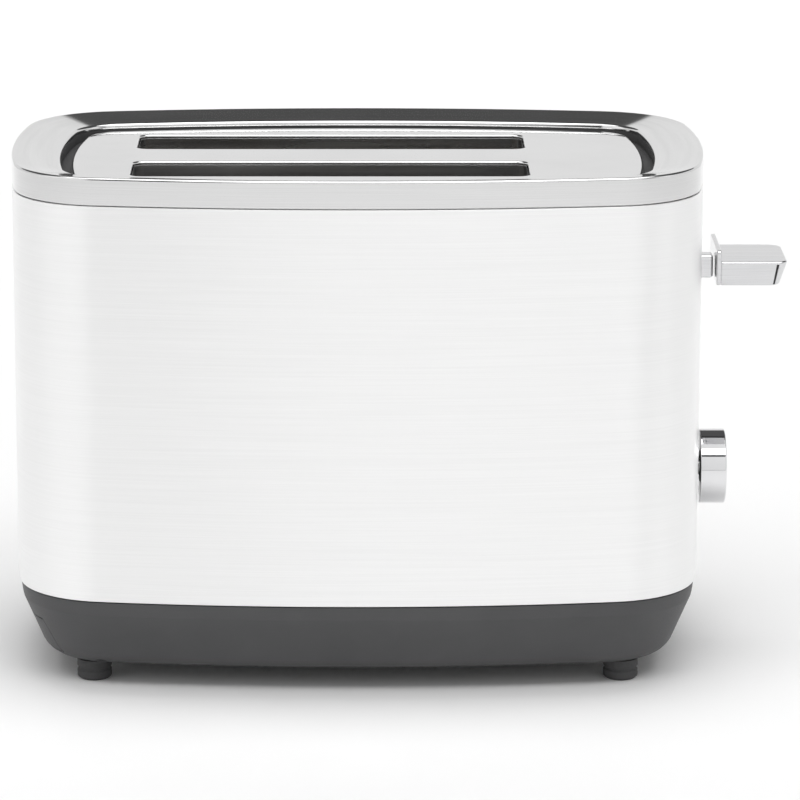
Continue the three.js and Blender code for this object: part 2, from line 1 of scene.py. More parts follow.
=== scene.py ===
"""Looks for a two-slot pop-up toaster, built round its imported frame.

Each sub-assembly is a class that holds its own sizes, builds its meshes and dresses them in its finishes.
All lengths are in metres, in the frame's own axes: +X towards the lever, +Z up, and the front at -Y.
"""

from __future__ import annotations

import logging
import math
from contextlib import contextmanager
from dataclasses import dataclass, field
from enum import Enum
from typing import Callable, Iterator, Sequence

import bmesh
import bpy
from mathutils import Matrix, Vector


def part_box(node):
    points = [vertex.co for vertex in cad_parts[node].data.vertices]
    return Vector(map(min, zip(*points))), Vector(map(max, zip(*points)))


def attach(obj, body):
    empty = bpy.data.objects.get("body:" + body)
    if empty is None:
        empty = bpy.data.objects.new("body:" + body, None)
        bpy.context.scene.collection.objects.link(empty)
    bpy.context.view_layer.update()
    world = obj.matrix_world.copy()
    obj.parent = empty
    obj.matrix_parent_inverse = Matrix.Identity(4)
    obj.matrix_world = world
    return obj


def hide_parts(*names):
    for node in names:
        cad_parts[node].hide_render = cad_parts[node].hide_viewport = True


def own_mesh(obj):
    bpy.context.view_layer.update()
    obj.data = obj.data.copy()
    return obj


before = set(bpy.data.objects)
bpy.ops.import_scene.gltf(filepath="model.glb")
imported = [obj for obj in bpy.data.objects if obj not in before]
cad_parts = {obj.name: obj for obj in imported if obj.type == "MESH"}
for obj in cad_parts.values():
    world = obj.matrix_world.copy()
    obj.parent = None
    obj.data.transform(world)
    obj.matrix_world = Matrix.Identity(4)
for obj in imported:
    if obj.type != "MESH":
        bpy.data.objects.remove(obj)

MM = 0.001
FACING = 0.9  # least part of a unit vector along an axis for an element to count as facing it
log = logging.getLogger("toaster")

Piece = bpy.types.Object
Material = bpy.types.Material
Socket = bpy.types.NodeSocket
Point = tuple[float, float, float]
Colour = tuple[float, float, float]
BASE_FOOT_INSET = 10.6 * MM
BASE_FOOT_ROUNDING = 6.0 * MM
BASE_CREASE_INSET = 1.2 * MM
BASE_CREASE_HEIGHT = 22 * MM
BASE_INSIDE_INSET = 14.8 * MM
CORNERS = ("front_left", "rear_left", "front_right", "rear_right")


class Axis(Enum):
    """A direction that a round piece lies along."""

    X = "x"
    Y = "y"
    Z = "z"

    @property
    def vector(self) -> Vector:
        """Returns the unit vector along it."""
        return Vector([float(axis is self) for axis in Axis])


class Element(Enum):
    """What a selection in edit mode is made of."""

    EDGES = "EDGE"
    FACES = "FACE"


# ---- Finishes ----


class Wiring:
    """Adds and links the nodes of one tree."""

    def __init__(self, tree: bpy.types.NodeTree) -> None:
        """Empties the tree.

        Args:
            tree: the material's or the world's nodes.
        """
        self.tree = tree
        tree.nodes.clear()

    def add(self, kind: str, **inputs: Socket | float | Sequence[float]) -> bpy.types.Node:
        """Adds a node and fills its sockets.

        Args:
            kind: the node's type, without the ShaderNode before it.
            **inputs: socket names, with _ for a space, and the socket that each is linked to, or its value.

        Returns:
            The node.
        """
        node = self.tree.nodes.new(f"ShaderNode{kind}")
        for name, value in inputs.items():
            socket = node.inputs[name.replace("_", " ")]
            if isinstance(value, Socket):
                self.tree.links.new(value, socket)
            else:
                socket.default_value = value
        return node


class Recipe(Wiring):
    """Puts a material's nodes together, one short call at a time."""

    def __init__(self, name: str) -> None:
        """Starts an empty material.

        Args:
            name: the material's name.
        """
        self.material = bpy.data.materials.new(name)
        self.material.use_nodes = True
        super().__init__(self.material.node_tree)
        self.shader = self.add("BsdfPrincipled")
        self.add("OutputMaterial", Surface=self.shader.outputs["BSDF"])
        self.place = self.add("TexCoord").outputs["Object"]

    def set(self, **values: float | Colour) -> None:
        """Sets constant values on the shader's own sockets.

        Args:
            **values: socket names, with _ for a space, and what each is set to.
        """
        for name, value in values.items():
            socket = self.shader.inputs[name.replace("_", " ")]
            socket.default_value = (*value, 1.0) if isinstance(value, tuple) else value

    def stretched(self, scale: Point) -> Socket:
        """Object coordinates scaled along each axis.

        Args:
            scale: how many pattern units fit in a metre along X, Y and Z.

        Returns:
            The socket with the scaled place.
        """
        return self.add("Mapping", Vector=self.place, Scale=scale).outputs["Vector"]

    def noise(self, place: Socket, scale: float = 1.0, detail: float = 3.0) -> Socket:
        """Soft noise over a place.

        Args:
            place: the coordinates it is read at.
            scale: its scale on top of those coordinates.
            detail: how many finer layers it has.

        Returns:
            The socket with its value, from 0 to 1.
        """
        return self.add("TexNoise", Vector=place, Scale=scale, Detail=detail).outputs["Fac"]

    def cells(self, place: Socket, scale: float = 1.0) -> Socket:
        """Random colour cells over a place, as one value per cell.

        Args:
            place: the coordinates they are read at.
            scale: their scale on top of those coordinates.

        Returns:
            The socket with the cells' colours.
        """
        return self.add("TexVoronoi", Vector=place, Scale=scale).outputs["Color"]

    def waves(self, place: Socket, scale: float) -> Socket:
        """Straight bands that follow each other along Z.

        Args:
            place: the coordinates they are read at.
            scale: their scale on top of those coordinates.

        Returns:
            The socket with their value, from 0 to 1.
        """
        node = self.add("TexWave", Vector=place, Scale=scale)
        node.wave_type, node.bands_direction = "BANDS", "Z"
        return node.outputs["Fac"]

    def between(self, value: Socket, low: float, high: float, reach: tuple[float, float] = (0.3, 0.7)
                ) -> Socket:
        """Stretches a value to a new range.

        Args:
            value: what is stretched.
            low: the result where the value is at the start of its reach.
            high: the result where it is at the end.
            reach: the part of the value that counts.

        Returns:
            The socket with the new value.
        """
        start, end = reach
        node = self.add("MapRange", Value=value, From_Min=start, From_Max=end, To_Min=low, To_Max=high)
        return node.outputs["Result"]

    def ramp(self, value: Socket, dark: Colour, light: Colour, reach: tuple[float, float] = (0.3, 0.7)
             ) -> Socket:
        """Colours a value from one colour to another.

        Args:
            value: what picks the colour.
            dark: the colour at the start of the reach.
            light: the colour at its end.
            reach: the part of the value that counts.

        Returns:
            The socket with the colour.
        """
        node = self.add("ValToRGB", Fac=value)
        start, end = node.color_ramp.elements
        start.position, end.position = reach
        start.color, end.color = (*dark, 1.0), (*light, 1.0)
        return node.outputs["Color"]

    def join(self, value: Socket, name: str) -> None:
        """Links a value to one of the shader's sockets.

        Args:
            value: what is linked.
            name: the socket's name.
        """
        self.tree.links.new(value, self.shader.inputs[name])

    def bump(self, height: Socket, strength: float, depth: float) -> None:
        """Adds a bump under what is already there.

        Args:
            height: the bump's height, from 0 to 1.
            strength: how strongly it shows.
            depth: the height of a full step, in metres.
        """
        node = self.add("Bump", Height=height, Strength=strength, Distance=depth)
        surface = self.shader.inputs["Normal"]
        if surface.links:
            self.tree.links.new(surface.links[0].from_socket, node.inputs["Normal"])
        self.tree.links.new(node.outputs["Normal"], surface)


@dataclass(frozen=True)
class BrushedSheet:
    """Sheet metal with fine lines brushed along its length and soft broad streaks."""

    name: str
    dark: Colour
    light: Colour
    roughness: tuple[float, float] = (0.28, 0.4)
    metallic: float = 1.0
    grain: Point = (14.0, 14.0, 5200.0)
    depth: float = 0.02 * MM
    strength: float = 0.25
    coat: float = 0.0
    spread: float = 0.0

    def build(self) -> Material:
        """Returns the finished material."""
        recipe = Recipe(self.name)
        recipe.set(Metallic=self.metallic, Coat_Weight=self.coat, Coat_Roughness=0.12)
        if self.spread:
            recipe.set(Anisotropic=self.spread, Anisotropic_Rotation=0.25)
            around = recipe.add("Tangent")
            around.direction_type, around.axis = "RADIAL", "Z"
            recipe.join(around.outputs["Tangent"], "Tangent")
        lines = recipe.noise(recipe.stretched(self.grain), 1.0, 4.0)
        broad = recipe.noise(recipe.stretched(tuple(axis * 0.16 for axis in self.grain)), 1.0, 2.0)
        wear = recipe.noise(recipe.place, 22.0, 3.0)
        recipe.join(recipe.ramp(lines, self.dark, self.light, (0.25, 0.75)), "Base Color")
        low, high = self.roughness
        mixed = recipe.add("Math")
        mixed.operation = "ADD"
        recipe.tree.links.new(recipe.between(broad, low, high), mixed.inputs[0])
        recipe.tree.links.new(recipe.between(wear, -0.02, 0.03), mixed.inputs[1])
        recipe.join(mixed.outputs["Value"], "Roughness")
        recipe.bump(lines, self.strength, self.depth)
        return recipe.material


@dataclass(frozen=True)
class PolishedMetal:
    """Plated or polished metal with faint rubbing marks and a breath of haze."""

    name: str
    tint: Colour
    haze: tuple[float, float] = (0.05, 0.12)
    rub: float = 500.0

    def build(self) -> Material:
        """Returns the finished material."""
        recipe = Recipe(self.name)
        recipe.set(Metallic=1.0)
        cloud = recipe.noise(recipe.place, 45.0, 4.0)
        rubbed = recipe.noise(recipe.stretched((self.rub, self.rub * 0.05, self.rub)), 1.0, 3.0)
        dull = tuple(channel * 0.94 for channel in self.tint)
        recipe.join(recipe.ramp(cloud, dull, self.tint), "Base Color")
        recipe.join(recipe.between(cloud, *self.haze), "Roughness")
        recipe.bump(rubbed, 0.02, 0.01 * MM)
        return recipe.material


@dataclass(frozen=True)
class MouldedPlastic:
    """Plastic or rubber from a spark-eroded mould: a fine even texture with slight shade changes."""

    name: str
    dark: Colour
    light: Colour
    roughness: tuple[float, float] = (0.45, 0.58)
    texture: float = 2600.0
    depth: float = 0.03 * MM
    strength: float = 0.35

    def build(self) -> Material:
        """Returns the finished material."""
        recipe = Recipe(self.name)
        recipe.set(Metallic=0.0, Specular_IOR_Level=0.4)
        fine = recipe.noise(recipe.place, self.texture, 2.0)
        cloud = recipe.noise(recipe.place, 30.0, 4.0)
        recipe.join(recipe.ramp(cloud, self.dark, self.light), "Base Color")
        recipe.join(recipe.between(fine, *self.roughness), "Roughness")
        recipe.bump(fine, self.strength, self.depth)
        return recipe.material


@dataclass(frozen=True)
class ZincSheet:
    """Galvanised steel with its spangle of flat crystals."""

    name: str
    dark: Colour = (0.34, 0.35, 0.37)
    light: Colour = (0.56, 0.57, 0.58)
    roughness: tuple[float, float] = (0.3, 0.48)
    crystals: float = 160.0

    def build(self) -> Material:
        """Returns the finished material."""
        recipe = Recipe(self.name)
        recipe.set(Metallic=1.0)
        spangle = recipe.cells(recipe.place, self.crystals)
        stain = recipe.noise(recipe.place, 60.0, 5.0)
        recipe.join(recipe.ramp(spangle, self.dark, self.light, (0.1, 0.9)), "Base Color")
        recipe.join(recipe.between(stain, *self.roughness), "Roughness")
        recipe.bump(stain, 0.12, 0.05 * MM)
        return recipe.material


@dataclass(frozen=True)
class MicaSheet:
    """Pressed mica board: warm flakes in thin layers."""

    name: str
    dark: Colour = (0.20, 0.145, 0.08)
    light: Colour = (0.42, 0.33, 0.20)

    def build(self) -> Material:
        """Returns the finished material."""
        recipe = Recipe(self.name)
        recipe.set(Metallic=0.0)
        flakes = recipe.cells(recipe.stretched((210.0, 400.0, 260.0)), 1.0)
        streaks = recipe.noise(recipe.stretched((40.0, 40.0, 170.0)), 1.0, 5.0)
        recipe.join(recipe.ramp(streaks, self.dark, self.light), "Base Color")
        recipe.join(recipe.between(flakes, 0.25, 0.6, (0.1, 0.9)), "Roughness")
        recipe.bump(flakes, 0.2, 0.05 * MM)
        return recipe.material


@dataclass(frozen=True)
class BandedMetal:
    """Metal wire in a close winding."""

    name: str
    dark: Colour
    light: Colour
    pitch: float
    metallic: float = 1.0
    roughness: tuple[float, float] = (0.14, 0.24)
    strength: float = 0.4

    def build(self) -> Material:
        """Returns the finished material."""
        recipe = Recipe(self.name)
        recipe.set(Metallic=self.metallic)
        bands = recipe.waves(recipe.place, self.pitch)
        cloud = recipe.noise(recipe.place, 80.0, 4.0)
        recipe.join(recipe.ramp(bands, self.dark, self.light, (0.1, 0.9)), "Base Color")
        recipe.join(recipe.between(cloud, *self.roughness), "Roughness")
        recipe.bump(bands, self.strength, 0.1 * MM)
        return recipe.material


def made(finish: BrushedSheet | PolishedMetal | MouldedPlastic | ZincSheet | MicaSheet | BandedMetal
         ) -> Material:
    """A palette field whose material is built when the palette is.

    Args:
        finish: the finish to build.

    Returns:
        The field.
    """
    return field(default_factory=finish.build)


@dataclass(frozen=True)
class Palette:
    """Every finish of the toaster, built once."""

    shell: Material = made(BrushedSheet(
        "brushed_white_steel", (0.875, 0.875, 0.873), (0.93, 0.93, 0.928), (0.33, 0.37), 0.45, (18.0, 18.0, 3200.0),
        0.01 * MM, 0.12, 0.1, 0.8))
    trim: Material = made(BrushedSheet(
        "brushed_trim_steel", (0.70, 0.70, 0.70), (0.78, 0.78, 0.78), (0.06, 0.08), 1.0, (16.0, 16.0, 3000.0),
        0.01 * MM, 0.06))
    plate: Material = made(PolishedMetal(
        "polished_plate_steel", (0.77, 0.77, 0.77), (0.05, 0.09)))
    chrome: Material = made(PolishedMetal(
        "bright_chrome", (0.80, 0.80, 0.81), (0.03, 0.06)))
    satin: Material = made(BrushedSheet(
        "satin_chrome", (0.64, 0.64, 0.65), (0.76, 0.76, 0.77), (0.07, 0.12), 1.0, (30.0, 2200.0, 2200.0),
        0.01 * MM, 0.06))
    base: Material = made(MouldedPlastic(
        "dark_grey_plastic", (0.060, 0.060, 0.062), (0.072, 0.072, 0.074)))
    black: Material = made(MouldedPlastic(
        "black_plastic", (0.012, 0.012, 0.013), (0.022, 0.022, 0.023), (0.35, 0.5)))
    rubber: Material = made(MouldedPlastic(
        "foot_rubber", (0.05, 0.05, 0.051), (0.07, 0.07, 0.071), (0.7, 0.85), 1500.0, 0.06 * MM, 0.5))
    zinc: Material = made(ZincSheet("galvanised_sheet"))
    wire: Material = made(BrushedSheet(
        "drawn_steel_wire", (0.36, 0.36, 0.36), (0.55, 0.55, 0.55), (0.2, 0.35), 1.0, (900.0, 900.0, 60.0)))
    lining: Material = made(BrushedSheet(
        "slot_lining_steel", (0.30, 0.30, 0.30), (0.50, 0.50, 0.50), (0.22, 0.34), 1.0, (12.0, 60.0, 500.0)))
    mica: Material = made(MicaSheet("mica_board"))
    ribbon: Material = made(BrushedSheet(
        "heating_ribbon", (0.16, 0.15, 0.14), (0.30, 0.28, 0.26), (0.35, 0.55), 1.0, (2000.0, 400.0, 90.0)))
    board: Material = made(MouldedPlastic(
        "green_solder_resist", (0.012, 0.09, 0.03), (0.02, 0.15, 0.05), (0.2, 0.35), 700.0, 0.04 * MM, 0.3))
    copper: Material = made(BandedMetal(
        "enamelled_copper", (0.33, 0.11, 0.04), (0.70, 0.32, 0.15), 1400.0))
    print: Material = made(MouldedPlastic(
        "dark_print", (0.03, 0.03, 0.032), (0.045, 0.045, 0.047), (0.4, 0.5)))


# ---- Modelling ----


@dataclass(frozen=True)
class Span:
    """The box that a CAD node fills."""

    low: Vector
    high: Vector

    @classmethod
    def of(cls, node: str) -> Span:
        """Returns the box of a node."""
        return cls(*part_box(node))

    @property
    def centre(self) -> Vector:
        """Returns the middle of the box."""
        return (self.low + self.high) / 2

    @property
    def size(self) -> Vector:
        """Returns the lengths of its sides."""
        return self.high - self.low


class Bench:
    """Runs the modelling operators on one piece at a time."""

    @staticmethod
    def clear() -> None:
        """Leaves edit mode and deselects everything."""
        if bpy.context.mode != "OBJECT":
            bpy.ops.object.mode_set(mode="OBJECT")
        bpy.ops.object.select_all(action="DESELECT")

    @staticmethod
    def take(*pieces: Piece) -> None:
        """Selects pieces alone, the first one active."""
        Bench.clear()
        for piece in pieces:
            piece.select_set(True)
        bpy.context.view_layer.objects.active = pieces[0]

    @staticmethod
    def settle(name: str) -> Piece:
        """Names the new primitive and moves its place into its mesh.

        Args:
            name: the piece's name.

        Returns:
            The piece.
        """
        piece = bpy.context.object
        piece.name = name
        piece.data.name = name
        bpy.ops.object.transform_apply(location=True, rotation=True, scale=True)
        return piece

    @staticmethod
    def block(name: str, low: Sequence[float], high: Sequence[float]) -> Piece:
        """A block between two corners.

        Args:
            name: the piece's name.
            low: its lowest corner.
            high: its highest corner.

        Returns:
            The piece.
        """
        Bench.clear()
        start, end = Vector(low), Vector(high)
        bpy.ops.mesh.primitive_cube_add(size=1, location=(start + end) / 2, scale=end - start)
        return Bench.settle(name)

    @staticmethod
    def rod(name: str, axis: Axis, radius: float, start: Sequence[float], length: float, sides: int = 48
            ) -> Piece:
        """A round bar.

        Args:
            name: the piece's name.
            axis: the axis that it lies along.
            radius: its radius.
            start: the middle of its lower end.
            length: its length.
            sides: the number of its sides.

        Returns:
            The piece.
        """
        turns = {Axis.X: (0.0, math.pi / 2, 0.0), Axis.Y: (-math.pi / 2, 0.0, 0.0), Axis.Z: (0.0, 0.0, 0.0)}
        Bench.clear()
        bpy.ops.mesh.primitive_cylinder_add(
            vertices=sides, radius=radius, depth=length, location=Vector(start) + axis.vector * length / 2,
            rotation=turns[axis])
        return Bench.settle(name)

    @staticmethod
    @contextmanager
    def editing(piece: Piece) -> Iterator[None]:
        """Edit mode on one piece, with nothing selected at its start."""
        Bench.take(piece)
        bpy.ops.object.mode_set(mode="EDIT")
        bpy.ops.mesh.select_all(action="DESELECT")
        yield
        bpy.ops.object.mode_set(mode="OBJECT")

    @staticmethod
    def pick(piece: Piece, kind: Element, test: Callable[[Vector, Vector], bool]) -> None:
        """Selects elements of the piece in edit mode by their place.

        Args:
            piece: the piece in edit mode.
            kind: what is selected.
            test: says, from the middle and the normal or direction of an element, whether it is taken.
        """
        bpy.ops.mesh.select_mode(type=kind.value)
        bpy.ops.mesh.select_all(action="DESELECT")
        mesh = bmesh.from_edit_mesh(piece.data)
        if kind is Element.FACES:
            for face in mesh.faces:
                face.select_set(test(face.calc_center_median(), face.normal))
        else:
            for edge in mesh.edges:
                start, end = (vertex.co for vertex in edge.verts)
                edge.select_set(test((start + end) / 2, (end - start).normalized()))
        mesh.select_flush_mode()
        bmesh.update_edit_mesh(piece.data)

    @staticmethod
    def round_edges(piece: Piece, axis: Axis, radius: float, segments: int) -> None:
        """Rounds the edges of a block that run along one axis.

        Args:
            piece: the block.
            axis: the axis of those edges.
            radius: the rounding.
            segments: its steps.
        """
        with Bench.editing(piece):
            Bench.pick(piece, Element.EDGES, lambda place, way: abs(way.dot(axis.vector)) > FACING)
            bpy.ops.mesh.bevel(offset=radius, segments=segments, affect="EDGES")

    @staticmethod
    def start_vertex(place: Sequence[float]) -> None:
        """Adds one selected vertex to the mesh in edit mode, where vertices are being selected."""
        bpy.ops.mesh.primitive_plane_add(size=0.001)
        bpy.ops.mesh.merge(type="CENTER")
        bpy.ops.transform.translate(value=place)

    @staticmethod
    def empty_piece(name: str) -> Piece:
        """A piece with no vertices yet, at the origin.

        Args:
            name: the piece's name.

        Returns:
            The piece.
        """
        Bench.clear()
        bpy.ops.mesh.primitive_plane_add(size=0.001, location=(0, 0, 0))
        piece = Bench.settle(name)
        with Bench.editing(piece):
            bpy.ops.mesh.select_all(action="SELECT")
            bpy.ops.mesh.delete(type="VERT")
        return piece

    @staticmethod
    def turn(name: str, axis: Axis, profile: Sequence[tuple[float, float]], centre: Sequence[float], steps: int = 64
             ) -> Piece:
        """A turned piece: a profile spun about an axis.

        Args:
            name: the piece's name.
            axis: the axis that it is turned about.
            profile: (radius, place along the axis) pairs, which start and end on the axis or close on themselves.
            centre: a point on the axis.
            steps: the number of steps round the axis.

        Returns:
            The piece.
        """
        along = axis.vector
        out = Vector((0, 0, 1)) if axis is not Axis.Z else Vector((1, 0, 0))
        middle = Vector(centre) - along * Vector(centre).dot(along)
        places = [middle + along * height + out * radius for radius, height in profile]
        piece = Bench.empty_piece(name)
        with Bench.editing(piece):
            bpy.ops.mesh.select_mode(type="VERT")
            Bench.start_vertex(places[0])
            for before, after in zip(places, places[1:]):
                bpy.ops.mesh.extrude_region_move(TRANSFORM_OT_translate={"value": after - before})
            bpy.ops.mesh.select_all(action="SELECT")
            bpy.ops.mesh.spin(steps=steps, angle=2 * math.pi, center=middle, axis=along)
            Bench.close_up()
        return piece

    @staticmethod
    def close_up(distance: float = 0.002 * MM) -> None:
        """Merges doubles in edit mode and turns all faces outwards."""
        bpy.ops.mesh.select_all(action="SELECT")
        bpy.ops.mesh.remove_doubles(threshold=distance)
        bpy.ops.mesh.normals_make_consistent(inside=False)

    @staticmethod
    def change(piece: Piece, kind: str, **settings: object) -> None:
        """Adds a modifier and applies it.

        Args:
            piece: the piece it changes.
            kind: the modifier's type.
            **settings: its settings.
        """
        Bench.take(piece)
        modifier = piece.modifiers.new(kind.title(), kind)
        for name, value in settings.items():
            setattr(modifier, name, value)
        bpy.ops.object.modifier_apply(modifier=modifier.name)

    @staticmethod
    def soften(piece: Piece, width: float, segments: int = 3, angle: float = 35.0) -> None:
        """Rounds every edge sharper than an angle.

        Args:
            piece: the piece it changes.
            width: the width of each rounding.
            segments: its steps.
            angle: the least angle that is rounded, in degrees.
        """
        Bench.change(piece, "BEVEL", width=width, segments=segments, limit_method="ANGLE",
                     angle_limit=math.radians(angle), use_clamp_overlap=True)

    @staticmethod
    def combine(piece: Piece, operation: str, tools: Sequence[Piece]) -> None:
        """Combines a piece with tools, one after another, and removes them.

        Args:
            piece: the piece it changes.
            operation: the boolean operation.
            tools: what it is combined with.
        """
        for tool in tools:
            Bench.change(piece, "BOOLEAN", operation=operation, solver="EXACT", object=tool)
            bpy.data.objects.remove(tool)

    @staticmethod
    def cut(piece: Piece, *tools: Piece) -> None:
        """Cuts tools out of a piece and removes them."""
        Bench.combine(piece, "DIFFERENCE", tools)

    @staticmethod
    def weld(piece: Piece, *others: Piece) -> None:
        """Unites others with a piece into one solid and removes them."""
        Bench.combine(piece, "UNION", others)

    @staticmethod
    def trim(piece: Piece, room: Piece) -> None:
        """Keeps only what lies inside a room, and removes the room."""
        Bench.combine(piece, "INTERSECT", (room,))

    @staticmethod
    def gather(name: str, pieces: Sequence[Piece]) -> Piece:
        """Joins pieces into one object without changing their shapes.

        Args:
            name: the joined piece's name.
            pieces: what is joined.

        Returns:
            The joined piece.
        """
        Bench.take(*pieces)
        if len(pieces) > 1:
            bpy.ops.object.join()
        piece = bpy.context.object
        piece.name = name
        piece.data.name = name
        return piece

    @staticmethod
    def copy(piece: Piece, name: str, step: Sequence[float]) -> Piece:
        """A copy with its own mesh, moved by a step.

        Args:
            piece: what is copied.
            name: the copy's name.
            step: how far it is moved.

        Returns:
            The copy.
        """
        Bench.take(piece)
        bpy.ops.object.duplicate(linked=False)
        bpy.ops.transform.translate(value=step)
        return Bench.settle(name)

    @staticmethod
    def smooth(piece: Piece, angle: float = 35.0) -> None:
        """Shades a piece smooth, but for edges sharper than an angle in degrees."""
        Bench.take(piece)
        bpy.ops.object.shade_smooth_by_angle(angle=math.radians(angle))
        Bench.change(piece, "WEIGHTED_NORMAL", keep_sharp=True, weight=80)


class Fitter:
    """Dresses pieces and hands them to the frame."""

    @staticmethod
    def dress(piece: Piece, finish: Material) -> None:
        """Gives a piece one finish all over."""
        piece.data.materials.clear()
        piece.data.materials.append(finish)

    @staticmethod
    def fit(piece: Piece, finish: Material, body: str, slot: str, *nodes: str,
            angle: float = 35.0) -> None:
        """Shades, dresses and mounts a piece.

        Args:
            piece: the piece.
            finish: its finish.
            body: the body it rides on.
            slot: the material slot it belongs to; not used.
            *nodes: the CAD nodes it stands for.
            angle: edges sharper than this, in degrees, stay sharp.
        """
        Bench.smooth(piece, angle)
        Fitter.dress(piece, finish)
        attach(piece, body)
        if nodes:
            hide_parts(*nodes)
        log.info("%s rides on %s: %d faces", piece.name, body, len(piece.data.polygons))

    @staticmethod
    def keep(finish: Material, *nodes: str) -> None:
        """Gives CAD nodes that keep their shape a finish."""
        for node in nodes:
            Fitter.dress(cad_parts[node], finish)
            log.info("%s keeps its shape", node)


@dataclass(frozen=True)
class Level:
    """One outline of a stack: how far it lies inside the plan, its height, and the rounding of its edge."""

    inset: float
    height: float
    side_inset: float | None = None
    rounding: float = 0.0


@dataclass(frozen=True)
class PlanOutline:
    """A rectangle with bowed sides and round corners, seen from above: arcs that run into each other smoothly."""

    centre: tuple[float, float]
    half_length: float
    half_depth: float
    corner: float
    side_bow: float
    end_bow: float
    end_steps: int = 10
    corner_steps: int = 14
    side_steps: int = 14

    def corner_centre(self) -> tuple[Vector, float, float]:
        """Finds the corner arc that touches both bows.

        Returns:
            Its centre, the angle where the end's arc meets it, and the angle where it meets the side's arc.
        """
        end = Vector((self.half_length - self.end_bow, 0.0))
        side = Vector((0.0, self.half_depth - self.side_bow))
        to_end, to_side = self.end_bow - self.corner, self.side_bow - self.corner
        between = end - side
        distance = between.length
        along = (to_side**2 - to_end**2 + distance**2) / (2 * distance)
        across = math.sqrt(to_side**2 - along**2)
        unit = between / distance
        centre = side + unit * along + Vector((unit.y, -unit.x)) * across
        from_end, from_side = centre - end, centre - side
        return centre, math.atan2(from_end.y, from_end.x), math.atan2(from_side.y, from_side.x)

    def points(self, level: Level) -> list[Vector]:
        """Walks round one outline anticlockwise.

        Args:
            level: its insets and height.

        Returns:
            Its points, which start in the middle of the +X end.
        """
        corner, end_angle, side_angle = self.corner_centre()
        end_x, side_y = self.half_length - self.end_bow, self.half_depth - self.side_bow
        quarter = [(end_x, 0.0, self.end_bow, 0.0, end_angle, self.end_steps),
                   (corner.x, corner.y, self.corner, end_angle, side_angle, self.corner_steps),
                   (0.0, side_y, self.side_bow, side_angle, math.pi / 2, self.side_steps)]
        first = [Vector((x + (radius - level.inset) * math.cos(angle), y + (radius - level.inset) * math.sin(angle)))
                 for x, y, radius, start, end, steps in quarter
                 for angle in (start + (end - start) * step / steps for step in range(steps))]
        first.append(Vector((0.0, self.half_depth - level.inset)))
        second = [Vector((-point.x, point.y)) for point in reversed(first[:-1])]
        upper = first + second
        squeeze = 1.0
        if level.side_inset is not None:
            squeeze = (self.half_depth - level.side_inset) / (self.half_depth - level.inset)
        whole = upper + [Vector((point.x, -point.y)) for point in reversed(upper[1:-1])]
        return [Vector((self.centre[0] + point.x, self.centre[1] + point.y * squeeze, level.height))
                for point in whole]

    def stack(self, name: str, levels: Sequence[Level], closed: bool) -> Piece:
        """Extrudes a ring from outline to outline into a solid.

        Args:
            name: the piece's name.
            levels: the outlines, up the outside and, on a closed frame, down the inside.
            closed: whether the last outline runs back to the first; if not, both ends are capped.

        Returns:
            The piece, with the edges of its levels rounded.
        """
        outlines = [self.points(level) for level in levels]
        count = len(outlines[0])
        widest = max(level.rounding for level in levels)
        Bench.clear()
        bpy.ops.mesh.primitive_circle_add(vertices=count, radius=self.half_length, fill_type="NOTHING")
        piece = Bench.settle(name)
        with Bench.editing(piece):
            bpy.ops.mesh.select_mode(type="EDGE")
            bpy.ops.mesh.select_all(action="SELECT")
            self.lay(piece, outlines[0])
            for outline in outlines[1:] + ([outlines[0]] if closed else []):
                bpy.ops.mesh.extrude_edges_move()
                self.lay(piece, outline)
            rounded = list(enumerate(levels)) + ([(len(levels), levels[0])] if closed else [])
            for ring, level in rounded:
                if level.rounding > 0:
                    self.choose_ring(piece, ring, count)
                    bpy.ops.transform.edge_bevelweight(value=level.rounding / widest)
            if not closed:
                for end in (0, len(levels) - 1):
                    self.choose_ring(piece, end, count)
                    bpy.ops.mesh.edge_face_add()
            Bench.close_up()
        if widest > 0:
            Bench.change(piece, "BEVEL", width=widest, segments=5, limit_method="WEIGHT", use_clamp_overlap=True)
        return piece

    @staticmethod
    def lay(piece: Piece, outline: Sequence[Vector]) -> None:
        """Moves the selected ring's vertices onto an outline, in their order.

        Args:
            piece: the piece in edit mode.
            outline: where they go.
        """
        mesh = bmesh.from_edit_mesh(piece.data)
        for vertex, place in zip([vertex for vertex in mesh.verts if vertex.select], outline, strict=True):
            vertex.co = place
        bmesh.update_edit_mesh(piece.data)

    @staticmethod
    def choose_ring(piece: Piece, ring: int, count: int) -> None:
        """Selects the edges of one outline by the order they were made in.

        Args:
            piece: the piece in edit mode.
            ring: which outline.
            count: the number of vertices in each.
        """
        bpy.ops.mesh.select_all(action="DESELECT")
        mesh = bmesh.from_edit_mesh(piece.data)
        mesh.verts.index_update()
        for edge in mesh.edges:
            if all(vertex.index // count == ring for vertex in edge.verts):
                edge.select_set(True)
        bmesh.update_edit_mesh(piece.data)


# ---- Housing ----


